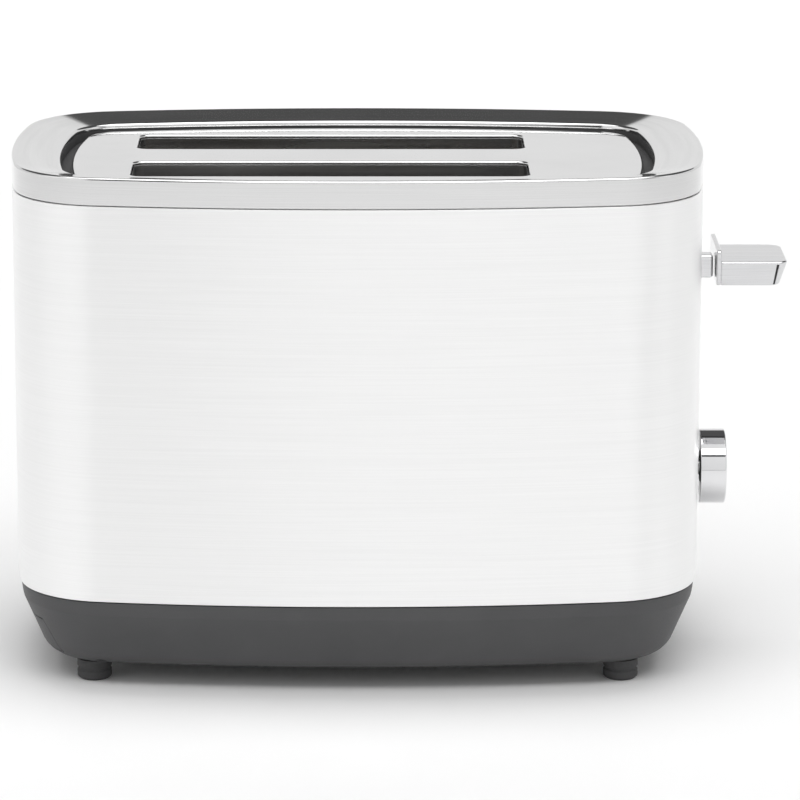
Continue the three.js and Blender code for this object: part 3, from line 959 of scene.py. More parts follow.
@dataclass
class Housing:
    """The steel wrap, the trim ring, the top plate and the base with its feet, screws and cable bush."""

    palette: Palette
    corner: float = 36.5 * MM
    side_bow: float = 664 * MM
    end_bow: float = 275 * MM
    wall: float = 0.8 * MM
    sheet: float = 1.0 * MM
    slot_corner: float = 4.0 * MM
    slot_ends: tuple[float, float] = (-83.7 * MM, 63.4 * MM)
    slot_middle: float = 28.2 * MM
    slot_half_width: float = 15.0 * MM
    lever_slot_half: float = 5.0 * MM
    dial_hole: float = 6.6 * MM
    button_hole: float = 5.7 * MM
    moat_depth: float = 5.4 * MM
    slot_roll: float = 0.8 * MM
    vent_columns: int = 6
    screw_well: float = 3.3 * MM
    cable_hole: float = 5.6 * MM

    def __post_init__(self) -> None:
        """Takes the plan and the middle of the body from the frame."""
        self.body = Span.of("body_shell")
        self.middle_x = self.body.centre.x
        self.outline = PlanOutline((self.middle_x, 0.0), self.body.size.x / 2, self.body.size.y / 2,
                                   self.corner, self.side_bow, self.end_bow)

    def build(self) -> None:
        """Builds and mounts every piece of the housing."""
        self.build_wrap()
        self.build_trim_ring()
        self.build_top_plate()
        self.build_base()
        self.build_feet()
        self.build_screws()
        self.build_cable_bush()

    @staticmethod
    def rounded_tool(axis: Axis, low: Sequence[float], high: Sequence[float], corner: float
                     ) -> Piece:
        """A block with its four edges along one axis rounded.

        Args:
            axis: the axis of those edges.
            low: the lowest corner.
            high: the highest corner.
            corner: the radius.

        Returns:
            The block.
        """
        tool = Bench.block("tool", low, high)
        Bench.round_edges(tool, axis, corner, 8)
        return tool

    def build_wrap(self) -> None:
        """The white wrap, with the lever's slot and the holes for the dial and the buttons."""
        low, high = self.body.low.z, self.body.high.z
        rim = 0.3 * MM
        wrap = self.outline.stack("body_wrap", [
            Level(0.0, low, rounding=rim), Level(0.0, high, rounding=rim),
            Level(self.wall, high), Level(self.wall, low)], closed=True)
        end = self.body.high.x
        through = (end - 12 * MM, end + 5 * MM)
        guide = Span.of("lever_slot_guide")
        slot_low, slot_high = guide.low.z + 2 * MM, guide.high.z - 4 * MM
        half = self.lever_slot_half
        tools = [self.rounded_tool(Axis.X, (through[0], -half, slot_low), (through[1], half, slot_high), 3 * MM)]
        bush = Span.of("dial_bush")
        tools.append(Bench.rod("tool", Axis.X, self.dial_hole, (through[0], 0.0, bush.centre.z),
                               through[1] - through[0]))
        for node in ("cancel_button", "reheat_button", "defrost_button"):
            button = Span.of(node)
            start = (through[0], button.centre.y, button.centre.z)
            tools.append(Bench.rod("tool", Axis.X, self.button_hole, start, through[1] - through[0]))
        Bench.cut(wrap, *tools)
        Fitter.fit(wrap, self.palette.shell, "housing", "white_steel", "body_shell", angle=25)

    def build_trim_ring(self) -> None:
        """The ring: an upright band, a top face that falls inwards and the wall down to the plate."""
        low, top = Span.of("trim_ring").low.z, Span.of("trim_ring").high.z
        seam = low + 5.5 * MM
        ring = self.outline.stack("trim_ring_sheet", [
            Level(1.3 * MM, low),
            Level(1.3 * MM, seam),
            Level(0.0, seam, rounding=0.5 * MM),
            Level(0.0, top + 0.1 * MM, rounding=1.1 * MM),
            Level(18.4 * MM, top - 2.6 * MM, 16.2 * MM, rounding=0.9 * MM),
            Level(18.4 * MM, top - 4.2 * MM, 16.2 * MM),
            Level(16.9 * MM, top - 4.2 * MM, 14.7 * MM),
            Level(16.9 * MM, top - 3.8 * MM, 14.7 * MM),
            Level(2.4 * MM, top - 2.4 * MM, 2.4 * MM),
            Level(2.4 * MM, low),
        ], closed=True)
        Fitter.fit(ring, self.palette.trim, "housing", "trim_steel", "trim_ring", angle=40)

    def slot_outline(self, side: float) -> PlanOutline:
        """The outline of one bread slot.

        Args:
            side: -1 for the front slot, 1 for the rear one.

        Returns:
            Its outline.
        """
        start, end = self.slot_ends
        centre = (self.middle_x + (start + end) / 2, side * self.slot_middle)
        return PlanOutline(centre, (end - start) / 2, self.slot_half_width, self.slot_corner, 20.0, 4.0, 2, 8, 2)

    def build_top_plate(self) -> None:
        """The polished plate, with a black seal in the moat round it that paints the moat's shade dark, and two slots
        whose edges roll down.
        """
        plate_span = Span.of("top_plate")
        top, bottom = plate_span.high.z, plate_span.low.z
        moat = top - self.moat_depth
        plate = self.outline.stack("slot_plate", [
            Level(17 * MM, moat - self.sheet, 14.8 * MM),
            Level(17 * MM, moat, 14.8 * MM),
            Level(21.8 * MM, moat, 18.6 * MM, rounding=0.8 * MM),
            Level(22.8 * MM, top, 19.8 * MM, rounding=1.1 * MM),
            Level(26 * MM, top, 24 * MM),
        ], closed=False)
        hollow = self.outline.stack("tool", [
            Level(22.6 * MM, moat - 2 * self.sheet, 19.5 * MM),
            Level(22.9 * MM, moat - self.sheet * 0.9, 19.8 * MM),
            Level(24.1 * MM, top - self.sheet, 21.6 * MM)], closed=False)
        Bench.cut(plate, hollow)
        for side in (-1.0, 1.0):
            slot = self.slot_outline(side)
            sleeve = slot.stack("tool", [
                Level(-2 * self.sheet, top - 3 * MM), Level(-2 * self.sheet, top - 0.9 * self.sheet)], closed=False)
            Bench.weld(plate, sleeve)
            name = "front" if side < 0 else "rear"
            lining = slot.stack(f"slot_lining_{name}", [
                Level(-0.75 * MM, top - 3.2 * MM, rounding=0.2 * MM),
                Level(0.1 * MM, top - 1.3 * MM, rounding=0.2 * MM),
                Level(0.1 * MM, bottom, rounding=0.2 * MM),
                Level(-0.75 * MM, bottom),
            ], closed=True)
            Fitter.fit(lining, self.palette.lining, "housing", "polished_steel")
            roll = self.slot_roll
            levels = [Level(-0.3 * MM, bottom - 3 * MM), Level(-0.3 * MM, top - roll)]
            for step in range(1, 7):
                angle = step * math.pi / 12
                levels.append(Level(-0.3 * MM - roll * (1 - math.cos(angle)), top - roll * (1 - math.sin(angle))))
            levels.append(Level(levels[-1].inset - 0.5 * MM, top + 0.4 * MM))
            Bench.cut(plate, slot.stack("tool", levels, closed=False))
        Fitter.fit(plate, self.palette.plate, "housing", "polished_steel", "top_plate", angle=40)
        # Painted shade: a black rubber seal fills the moat so that it reads dark, standing in for the shade there.
        shade_seal_top, lip_top = moat + 1.9 * MM, top + 0.2 * MM
        shade_seal = self.outline.stack("moat_shade_seal", [
            Level(17.2 * MM, moat - 0.1 * MM, 15.0 * MM), Level(17.2 * MM, lip_top, 15.0 * MM, rounding=0.2 * MM),
            Level(18.2 * MM, lip_top, 16.0 * MM, rounding=0.2 * MM), Level(18.2 * MM, shade_seal_top, 16.0 * MM),
            Level(22.2 * MM, shade_seal_top, 19.0 * MM, rounding=0.4 * MM), Level(22.2 * MM, moat - 0.1 * MM, 19.0 * MM),
        ], closed=True)
        Fitter.fit(shade_seal, self.palette.rubber, "housing", "black_plastic")

    def build_base(self) -> None:
        """The tapered base: its crease, its rounded foot edge, vents, screw wells, tray opening and cable hole."""
        span = Span.of("base_moulding")
        low = span.low.z
        top = self.body.low.z - 0.4 * MM
        base = self.outline.stack("base_tub", [
            Level(BASE_FOOT_INSET, low, rounding=BASE_FOOT_ROUNDING),
            Level(BASE_CREASE_INSET, low + BASE_CREASE_HEIGHT, rounding=0.4 * MM),
            Level(0.5 * MM, top, rounding=0.5 * MM),
            Level(2.0 * MM, top + 0.01 * MM),
        ], closed=False)
        inside = self.outline.stack("tool", [
            Level(BASE_INSIDE_INSET, low + 2.1 * MM, rounding=2.0 * MM), Level(9.3 * MM, low + 9 * MM),
            Level(3.5 * MM, low + 22.3 * MM), Level(3.5 * MM, top + 9 * MM)], closed=False)
        Bench.cut(base, inside)
        collar = self.outline.stack("tool", [
            Level(1.3 * MM, top - 3 * MM), Level(1.3 * MM, span.high.z, rounding=0.4 * MM),
            Level(3.3 * MM, span.high.z, rounding=0.4 * MM), Level(3.3 * MM, top - 3 * MM)], closed=True)
        Bench.weld(base, collar)
        grip = Span.of("crumb_tray_grip")
        gap = 0.4 * MM
        tools = [Bench.block("tool", (grip.low.x - 5 * MM, grip.low.y - gap, grip.low.z - gap),
                             (grip.high.x + 8 * MM, grip.high.y + gap, grip.high.z + gap))]
        for column in range(self.vent_columns):
            x = self.middle_x + (-60 + 20 * column) * MM
            for side in (-1, 1):
                tools.append(self.rounded_tool(
                    Axis.Z, (x - 2 * MM, side * 25 * MM - 17 * MM, 0.0),
                    (x + 2 * MM, side * 25 * MM + 17 * MM, 14 * MM), 1.9 * MM))
        for corner in CORNERS:
            screw = Span.of(f"base_screw_{corner}").centre
            tools.append(Bench.rod("tool", Axis.Z, self.screw_well, (screw.x, screw.y, 0.0), low + 1.0 * MM))
        gland = Span.of("cord_gland")
        tools.append(Bench.rod("tool", Axis.Y, self.cable_hole, (gland.centre.x, 55 * MM, gland.centre.z), 30 * MM))
        Bench.cut(base, *tools)
        Fitter.fit(base, self.palette.base, "housing", "base_plastic", "base_moulding", angle=30)

    def build_feet(self) -> None:
        """Four short round feet, each with a groove above its soft sole."""
        for corner in CORNERS:
            node = f"foot_{corner}"
            span = Span.of(node)
            radius, top = span.size.x / 2, span.low.z + 7.8 * MM
            foot = Bench.turn(f"{node}_pad", Axis.Z, [
                (0.0, span.low.z), (radius - 1.0 * MM, span.low.z), (radius, span.low.z + 1.0 * MM),
                (radius, top - 4.4 * MM), (radius - 0.5 * MM, top - 4.0 * MM), (radius - 0.5 * MM, top - 3.4 * MM),
                (radius, top - 3.0 * MM), (radius, top), (2.0 * MM, top), (2.0 * MM, span.high.z),
                (0.0, span.high.z)], span.centre, 40)
            Bench.soften(foot, 0.25 * MM, 2, 25)
            Fitter.fit(foot, self.palette.rubber, "housing", "foot_rubber", node)

    def build_screws(self) -> None:
        """Four pan-head screws with crossed slots, up through the base."""
        for corner in CORNERS:
            node = f"base_screw_{corner}"
            span = Span.of(node)
            head, shank, low = span.size.y / 2, 1.5 * MM, span.low.z
            screw = Bench.turn(f"{node}_steel", Axis.Z, [
                (0.0, low), (head * 0.7, low + 0.2 * MM), (head, low + 1.2 * MM), (head, low + 2.6 * MM),
                (shank, low + 2.6 * MM), (shank, span.high.z - 2 * MM), (0.2 * MM, span.high.z),
                (0.0, span.high.z)], span.centre, 24)
            x, y = span.centre.x, span.centre.y
            arm, half = 1.7 * MM, 0.35 * MM
            Bench.cut(screw, *(Bench.block(
                "tool", (x - wide, y - deep, low - 1 * MM), (x + wide, y + deep, low + 1.3 * MM))
                for wide, deep in ((arm, half), (half, arm))))
            Fitter.fit(screw, self.palette.black, "housing", "steel_wire", node)

    def build_cable_bush(self) -> None:
        """The ribbed bush that the mains cable would pass through."""
        span = Span.of("cord_gland")
        bore, outer, flange = 3.6 * MM, 5.2 * MM, span.size.z / 2
        start = span.low.y
        profile = [(bore, start), (flange, start), (flange, start + 2.2 * MM), (outer, start + 2.2 * MM)]
        step = 2.4 * MM
        place = start + 7.2 * MM
        while place + step < span.high.y - 0.5 * MM:
            profile += [(outer, place), (outer - 0.7 * MM, place + 0.3 * MM), (outer - 0.7 * MM, place + 0.9 * MM),
                        (outer, place + 1.2 * MM)]
            place += step
        profile += [(outer, span.high.y - 0.6 * MM), (outer - 0.6 * MM, span.high.y), (bore + 0.3 * MM, span.high.y),
                    (bore, span.high.y - 0.3 * MM), (bore, start)]
        bush = Bench.turn("cable_bush", Axis.Y, profile, span.centre, 40)
        Fitter.fit(bush, self.palette.black, "housing", "black_plastic", "cord_gland", angle=30)


# ---- Crumb tray ----


@dataclass
class CrumbTray:
    """The sheet tray with its folded rims and the grip that closes the left end of the base."""

    palette: Palette
    outline: PlanOutline
    wall: float = 0.7 * MM

    def build(self) -> None:
        """Builds and mounts the tray and its grip."""
        self.build_pan()
        self.build_grip()

    def build_pan(self) -> None:
        """A pan sunk from a block, with rounded folds and raised beads along its floor."""
        span = Span.of("crumb_tray")
        pan = Bench.block("crumb_tray_pan", span.low, span.high)
        Bench.round_edges(pan, Axis.Z, 2.4 * MM, 6)
        with Bench.editing(pan):
            Bench.pick(pan, Element.FACES, lambda place, way: way.z > FACING)
            bpy.ops.mesh.inset(thickness=self.wall, use_even_offset=True)
            bpy.ops.mesh.extrude_region_move(
                TRANSFORM_OT_translate={"value": (0, 0, self.wall - span.size.z)})
        Bench.soften(pan, 0.25 * MM, 2, 40)
        beads = []
        for row in range(5):
            y = (row - 2) * 20 * MM
            bead = Bench.block("tool", (span.low.x + 14 * MM, y - 1.6 * MM, span.low.z + 0.3 * MM),
                               (span.high.x - 14 * MM, y + 1.6 * MM, span.low.z + self.wall + 0.7 * MM))
            with Bench.editing(bead):
                Bench.pick(bead, Element.FACES, lambda place, way: way.z > FACING)
                bpy.ops.mesh.bevel(offset=0.6 * MM, segments=3, affect="EDGES")
            beads.append(bead)
        Bench.weld(pan, *beads)
        Fitter.fit(pan, self.palette.zinc, "tray", "galvanised", "crumb_tray")

    def build_grip(self) -> None:
        """The grip follows the base's taper, with a finger scoop under its lower edge."""
        span = Span.of("crumb_tray_grip")
        base = Span.of("base_moulding")
        low = base.low.z
        skin = self.outline.stack("tray_grip", [
            Level(BASE_FOOT_INSET, low, rounding=BASE_FOOT_ROUNDING),
            Level(BASE_CREASE_INSET, low + BASE_CREASE_HEIGHT),
            Level(BASE_CREASE_INSET, low + 30 * MM),
        ], closed=False)
        far = 400 * MM
        keep = Bench.block("tool", (span.low.x - 9 * MM, span.low.y, span.low.z),
                           (span.high.x + 6 * MM, span.high.y, span.high.z))
        Bench.trim(skin, keep)
        inside = self.outline.stack("tool", [
            Level(BASE_INSIDE_INSET, low - 4 * MM), Level(BASE_INSIDE_INSET, low + 5.0 * MM),
            Level(4.6 * MM, low + 28 * MM),
        ], closed=False)
        shaped = Bench.block("tool", (span.low.x + 4 * MM, -far, span.low.z + 3.2 * MM),
                             (far, far, span.high.z - 3.2 * MM))
        Bench.trim(inside, shaped)
        Bench.cut(skin, inside)
        scoop = Bench.rod("tool", Axis.Y, 15.5 * MM, (span.low.x - 3 * MM, -22 * MM, 2.4 * MM), 44 * MM, 64)
        Bench.soften(scoop, 3 * MM, 4, 60)
        Bench.cut(skin, scoop)
        Bench.soften(skin, 0.3 * MM, 2, 50)
        Fitter.fit(skin, self.palette.base, "tray", "base_plastic", "crumb_tray_grip", angle=30)


# ---- Toasting chamber ----


@dataclass
class ToastingChamber:
    """The end plates, the reflectors, four wound heating boards and four swinging bread guides."""

    palette: Palette
    turns: int = 15
    ribbon: float = 1.6 * MM
    end_margin: float = 7 * MM
    guide_wire: float = 0.9 * MM
    guide_ends: tuple[float, float] = (-98.2 * MM, 46.8 * MM)
    uprights: int = 7

    def build(self) -> None:
        """Builds and mounts every piece of the chamber."""
        Fitter.keep(self.palette.zinc, "chamber_end_left", "chamber_end_right", "reflector_front", "reflector_rear")
        for place in ("front_outer", "front_inner", "rear_inner", "rear_outer"):
            self.build_heater(place)
            self.build_guide(place)

    def build_heater(self, place: str) -> None:
        """A mica board notched along its ends, with a flat ribbon wound round it.

        Args:
            place: which of the four boards.
        """
        node = f"heater_{place}"
        span = Span.of(node)
        tab = 2.9 * MM
        low = Vector((span.low.x + tab, span.low.y + 0.12 * MM, span.low.z))
        high = Vector((span.high.x - tab, span.high.y - 0.12 * MM, span.high.z))
        sheet = Bench.block(f"mica_{place}", low, high)
        tabs = Bench.block("tool", (span.low.x, low.y + 0.02 * MM, 140.3 * MM),
                           (span.high.x, high.y - 0.02 * MM, 148.7 * MM))
        Bench.weld(sheet, tabs)
        pitch = (span.size.z - 2 * self.end_margin) / (self.turns - 1)
        rows = [low.z + self.end_margin + turn * pitch for turn in range(self.turns)]
        notches = [Bench.block("tool", (end - 1 * MM, low.y - 1 * MM, height - 1 * MM),
                               (end + 1 * MM, high.y + 1 * MM, height + 1 * MM))
                   for height in rows for end in (low.x, high.x)]
        Bench.cut(sheet, Bench.gather("tool", notches))
        Fitter.fit(sheet, self.palette.mica, "housing", "mica", node)
        loops = []
        for height in rows:
            loop = Bench.block("loop", (low.x + 0.9 * MM, span.low.y, height - self.ribbon / 2),
                               (high.x - 0.9 * MM, span.high.y, height + self.ribbon / 2))
            with Bench.editing(loop):
                Bench.pick(loop, Element.FACES, lambda centre, way: abs(way.z) > FACING)
                bpy.ops.mesh.inset(thickness=0.11 * MM, use_even_offset=True)
                bpy.ops.mesh.bridge_edge_loops()
                Bench.close_up(0.001 * MM)
            loops.append(loop)
        winding = Bench.gather(f"ribbon_{place}", loops)
        Fitter.fit(winding, self.palette.ribbon, "housing", "steel_wire")

    def build_guide(self, place: str) -> None:
        """A rack of thin upright wires between a pivot wire and a shorter top wire, welded at their crossings.

        Args:
            place: which of the four guides.
        """
        node = f"bread_guide_{place}"
        span, radius = Span.of(node), self.guide_wire
        middle, low, high = span.centre.y, span.low.z + radius, span.high.z - radius
        pivot = Bench.rod("wire", Axis.X, radius, (span.low.x, middle, low), span.size.x, 16)
        Bench.soften(pivot, 0.25 * MM, 2, 60)
        start, end = self.guide_ends
        top = Bench.rod("wire", Axis.X, radius, (start - radius, middle, high), end - start + 2 * radius, 16)
        Bench.soften(top, 0.3 * MM, 2, 60)
        uprights = [Bench.rod("wire", Axis.Z, radius * 0.96,
                              (start + (end - start) * index / (self.uprights - 1), middle, low), high - low, 16)
                    for index in range(self.uprights)]
        Bench.weld(pivot, top, *uprights)
        rack = Bench.gather(f"guide_wires_{place}", [pivot])
        Fitter.fit(rack, self.palette.wire, f"guide_{place}", "steel_wire", node, angle=60)


# ---- Carriage ----


@dataclass
class Carriage:
    """The lift: two bread racks, their bracket, the latch keeper, the lever, the guide rod and the spring."""

    palette: Palette
    rack_top: float = 122 * MM
    bar_step: float = 16 * MM
    flange: float = 1.8 * MM
    undercut: float = 3.2 * MM
    coils: int = 8
    coil_radius: float = 3.7 * MM
    coil_wire: float = 0.55 * MM

    def build(self) -> None:
        """Builds and mounts every piece of the carriage."""
        self.build_racks()
        self.build_bracket()
        self.build_lever_arm()
        self.build_lever_handle()
        self.build_rod()
        self.build_spring()
        self.build_slot_guide()
        Fitter.keep(self.palette.zinc, "rod_bracket_lower", "rod_bracket_upper")
        self.build_latch_plate()

    def build_racks(self) -> None:
        """Two spine strips with cross bars whose ends turn up."""
        span = Span.of("bread_rack_front")
        middle, low = span.centre.y, span.low.z
        spine = Bench.block("rack_front", (span.low.x, middle - 2 * MM, low),
                            (span.high.x, middle + 2 * MM, self.rack_top))
        Bench.soften(spine, 0.4 * MM, 3)
        start = span.low.x + 3 * MM
        turned = 1.2 * MM
        bar = Bench.block("tool", (start, span.low.y + turned, low + 0.5 * MM),
                          (start + 3 * MM, span.high.y - turned, self.rack_top))
        with Bench.editing(bar):
            for side in (-1, 1):
                Bench.pick(bar, Element.FACES, lambda centre, way: way.y * side > FACING)
                bpy.ops.mesh.extrude_region_move(TRANSFORM_OT_translate={"value": (0, side * turned, 0)})
                Bench.pick(bar, Element.FACES, lambda centre, way: way.z > FACING and
                           abs(centre.y - middle) * 2 > span.size.y - 2 * turned and (centre.y - middle) * side > 0)
                bpy.ops.mesh.extrude_region_move(
                    TRANSFORM_OT_translate={"value": (0, 0, span.high.z - self.rack_top)})
        Bench.soften(bar, 0.3 * MM, 2)
        count = int((span.high.x - 6 * MM - start) / self.bar_step) + 1
        bars = [bar] + [Bench.copy(bar, "tool", (self.bar_step * index, 0, 0)) for index in range(1, count)]
        Bench.weld(spine, Bench.gather("tool", bars))
        rear = Bench.copy(spine, "rack_rear", (0, -2 * middle, 0))
        Fitter.fit(spine, self.palette.zinc, "carriage", "galvanised", "bread_rack_front")
        Fitter.fit(rear, self.palette.zinc, "carriage", "galvanised", "bread_rack_rear")

    def build_bracket(self) -> None:
        """The pressed plate that holds both racks, its sleeve on the rod and its rivets."""
        span, rod = Span.of("carriage_bracket"), Span.of("guide_rod").centre
        near, thick = span.low.x, 1.2 * MM
        plate = Bench.block("bracket_plate", (near, span.low.y, span.low.z), (near + thick, span.high.y, 127 * MM))
        upright = Bench.block("tool", (near, -7 * MM, span.low.z + 1 * MM), (near + thick, 7 * MM, span.high.z))
        for piece in (plate, upright):
            Bench.round_edges(piece, Axis.X, 2.5 * MM, 6)
        Bench.weld(plate, upright)
        holes = [Bench.rod("tool", Axis.X, 2 * MM, (near - 1 * MM, side * 17 * MM, 120 * MM), 4 * MM, 24)
                 for side in (-1, 1)]
        Bench.cut(plate, *holes)
        Bench.soften(plate, 0.25 * MM, 2, 50)
        web = Bench.block("tool", (near + 0.3 * MM, -1.2 * MM, 115.5 * MM), (rod.x, 1.2 * MM, span.high.z - 0.4 * MM))
        sleeve = Bench.turn("tool", Axis.Z, [
            (0.0, 115.5 * MM), (4.3 * MM, 115.5 * MM), (4.8 * MM, 116 * MM), (4.8 * MM, 119 * MM),
            (4.4 * MM, 119.4 * MM), (4.4 * MM, 148 * MM), (4.8 * MM, 148.4 * MM), (4.8 * MM, span.high.z - 0.5 * MM),
            (4.3 * MM, span.high.z), (0.0, span.high.z)], rod, 40)
        rivets = []
        for side in (-1, 1):
            rivets.append(Bench.turn("tool", Axis.X, [
                (0.0, near + 0.6 * MM), (1.9 * MM, near + 0.6 * MM), (1.9 * MM, near + thick + 0.2 * MM),
                (1.5 * MM, near + thick + 0.7 * MM), (0.8 * MM, near + thick + 0.95 * MM),
                (0.0, near + thick + 1 * MM)], (0, side * 28.2 * MM, 121 * MM), 20))
        Bench.weld(plate, web, sleeve, *rivets)
        Bench.cut(plate, Bench.rod("tool", Axis.Z, 2.45 * MM, (rod.x, rod.y, 90 * MM), 90 * MM, 32))
        Fitter.fit(plate, self.palette.zinc, "carriage", "galvanised", "carriage_bracket")

    def build_latch_plate(self) -> None:
        """The keeper under its arm, spot-welded by two dimples."""
        span = Span.of("latch_plate")
        arm = Bench.block("latch_arm", (span.low.x, span.low.y, span.low.z + 1.5 * MM), span.high)
        keeper = Bench.block("tool", (span.high.x - 17 * MM, span.low.y + 1 * MM, span.low.z),
                             (span.high.x - 1 * MM, span.high.y - 1 * MM, span.low.z + 1.6 * MM))
        for piece in (arm, keeper):
            Bench.round_edges(piece, Axis.Z, 1.5 * MM, 5)
        Bench.weld(arm, keeper)
        dimples = [Bench.turn("tool", Axis.Z, [
            (0.0, span.high.z - 0.5 * MM), (0.7 * MM, span.high.z - 0.4 * MM), (1.2 * MM, span.high.z + 0.1 * MM),
            (0.0, span.high.z + 0.1 * MM)], (span.high.x - 9 * MM, span.centre.y + side * 4 * MM, 0), 20)
            for side in (-1, 1)]
        Bench.cut(arm, *dimples)
        Bench.soften(arm, 0.2 * MM, 2, 50)
        Fitter.fit(arm, self.palette.wire, "carriage", "steel_wire", "latch_plate")

    def build_lever_arm(self) -> None:
        """The stem: a rounded bar lightened by a window inside the wrap."""
        span = Span.of("lever_arm")
        arm = Bench.block("lever_stem", span.low, span.high)
        Bench.soften(arm, 0.9 * MM, 4)
        window = Bench.block("tool", (span.low.x + 6 * MM, -10 * MM, span.low.z + 2.5 * MM),
                             (span.high.x - 13.5 * MM, 10 * MM, span.high.z - 2.5 * MM))
        Bench.round_edges(window, Axis.Y, 1.4 * MM, 5)
        Bench.cut(arm, window)
        Fitter.fit(arm, self.palette.satin, "carriage", "chrome", "lever_arm")

    def build_lever_handle(self) -> None:
        """The paddle: a block with an undercut, rounded end and a black strip set in its end as a painted reflection,
        on a flange that hides the slot.
        """
        span = Span.of("lever_handle")
        top = 153.4 * MM
        paddle = Bench.block("lever_paddle", (span.low.x + self.flange - 0.4 * MM, span.low.y, span.low.z),
                             (span.high.x, span.high.y, top))
        with Bench.editing(paddle):
            Bench.pick(paddle, Element.EDGES, lambda place, way: place.x > span.high.x - MM and
                       place.z < span.low.z + MM and abs(way.y) > FACING)
            bpy.ops.transform.translate(value=(-self.undercut, 0, 0))
            for side, radius in ((-1, 3.4 * MM), (1, 5.4 * MM)):
                Bench.pick(paddle, Element.EDGES, lambda place, way: place.x > span.high.x - 4 * MM and
                           (place.y - span.centre.y) * side > 0 and abs(way.z) > 0.7)
                bpy.ops.mesh.bevel(offset=radius, segments=8, affect="EDGES")
        Bench.soften(paddle, 0.9 * MM, 5, 40)
        plate = Bench.block("tool", span.low, (span.low.x + self.flange, span.high.y, span.high.z))
        Bench.round_edges(plate, Axis.X, 1.2 * MM, 6)
        Bench.soften(plate, 0.5 * MM, 4, 40)
        Bench.weld(paddle, plate)
        # Painted reflection: this groove and the black strip set in it stand in for the dark reflection along the
        # paddle's end corner.
        groove = Bench.block("tool", (span.high.x - 4.3 * MM, span.low.y - 1 * MM, span.low.z - 1 * MM),
                             (span.high.x - 3.3 * MM, span.low.y + 0.9 * MM, top - 1.1 * MM))
        with Bench.editing(groove):
            Bench.pick(groove, Element.FACES, lambda place, way: way.z < -FACING)
            bpy.ops.transform.translate(value=(-1.6 * MM, 0, 0))
        Bench.cut(paddle, groove)
        reflection_strip = Bench.block("lever_end_reflection_strip", (span.high.x - 4.2 * MM, span.low.y + 0.12 * MM, span.low.z + 0.5 * MM),
                            (span.high.x - 3.4 * MM, span.low.y + 0.95 * MM, top - 1.2 * MM))
        with Bench.editing(reflection_strip):
            Bench.pick(reflection_strip, Element.FACES, lambda place, way: way.z < -FACING)
            bpy.ops.transform.translate(value=(-1.55 * MM, 0, 0))
        Bench.soften(reflection_strip, 0.1 * MM, 2)
        Fitter.fit(reflection_strip, self.palette.black, "carriage", "black_plastic")
        Fitter.fit(paddle, self.palette.satin, "carriage", "chrome", "lever_handle", angle=50)

    def build_rod(self) -> None:
        """The guide rod, with chamfered ends and a clip groove near each."""
        span = Span.of("guide_rod")
        radius = span.size.x / 2
        profile = [(0.0, span.low.z), (radius - 0.4 * MM, span.low.z), (radius, span.low.z + 0.4 * MM)]
        for place in (span.low.z + 1.6 * MM, span.high.z - 2.2 * MM):
            profile += [(radius, place), (radius - 0.5 * MM, place + 0.1 * MM),
                        (radius - 0.5 * MM, place + 0.5 * MM), (radius, place + 0.6 * MM)]
        profile += [(radius, span.high.z - 0.4 * MM), (radius - 0.4 * MM, span.high.z), (0.0, span.high.z)]
        rod = Bench.turn("guide_rod_steel", Axis.Z, profile, span.centre, 32)
        Fitter.fit(rod, self.palette.wire, "housing", "steel_wire", "guide_rod")

    def build_spring(self) -> None:
        """The compression spring: open coils between two closed end coils."""
        span, rod = Span.of("lift_spring"), Span.of("guide_rod").centre
        low, high = span.low.z + self.coil_wire, span.high.z - self.coil_wire
        Bench.clear()
        bpy.ops.mesh.primitive_circle_add(vertices=10, radius=self.coil_wire, fill_type="NOTHING",
                                          location=(rod.x, rod.y, low), rotation=(math.pi / 2, 0, 0))
        coil = bpy.context.object
        bpy.ops.object.transform_apply(location=False, rotation=True, scale=True)
        with Bench.editing(coil):
            bpy.ops.mesh.select_all(action="SELECT")
            bpy.ops.transform.translate(value=(self.coil_radius, 0, 0))
        pitch = (high - low) / self.coils
        Bench.change(coil, "SCREW", axis="Z", screw_offset=pitch, iterations=self.coils, steps=28, render_steps=28,
                     use_merge_vertices=True, use_normal_calculate=True)
        Bench.take(coil)
        coil = Bench.settle("lift_coil")
        with Bench.editing(coil):
            bpy.ops.mesh.select_mode(type="EDGE")
            bpy.ops.mesh.select_non_manifold()
            bpy.ops.mesh.edge_face_add()
            Bench.close_up()
        ends = []
        for height in (low, high):
            Bench.clear()
            bpy.ops.mesh.primitive_torus_add(location=(rod.x, rod.y, height), major_radius=self.coil_radius,
                                             minor_radius=self.coil_wire, major_segments=28, minor_segments=10)
            ends.append(Bench.settle("tool"))
        spring = Bench.gather("lift_coil", [coil, *ends])
        Fitter.fit(spring, self.palette.wire, "housing", "steel_wire", "lift_spring", angle=60)
        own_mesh(spring)

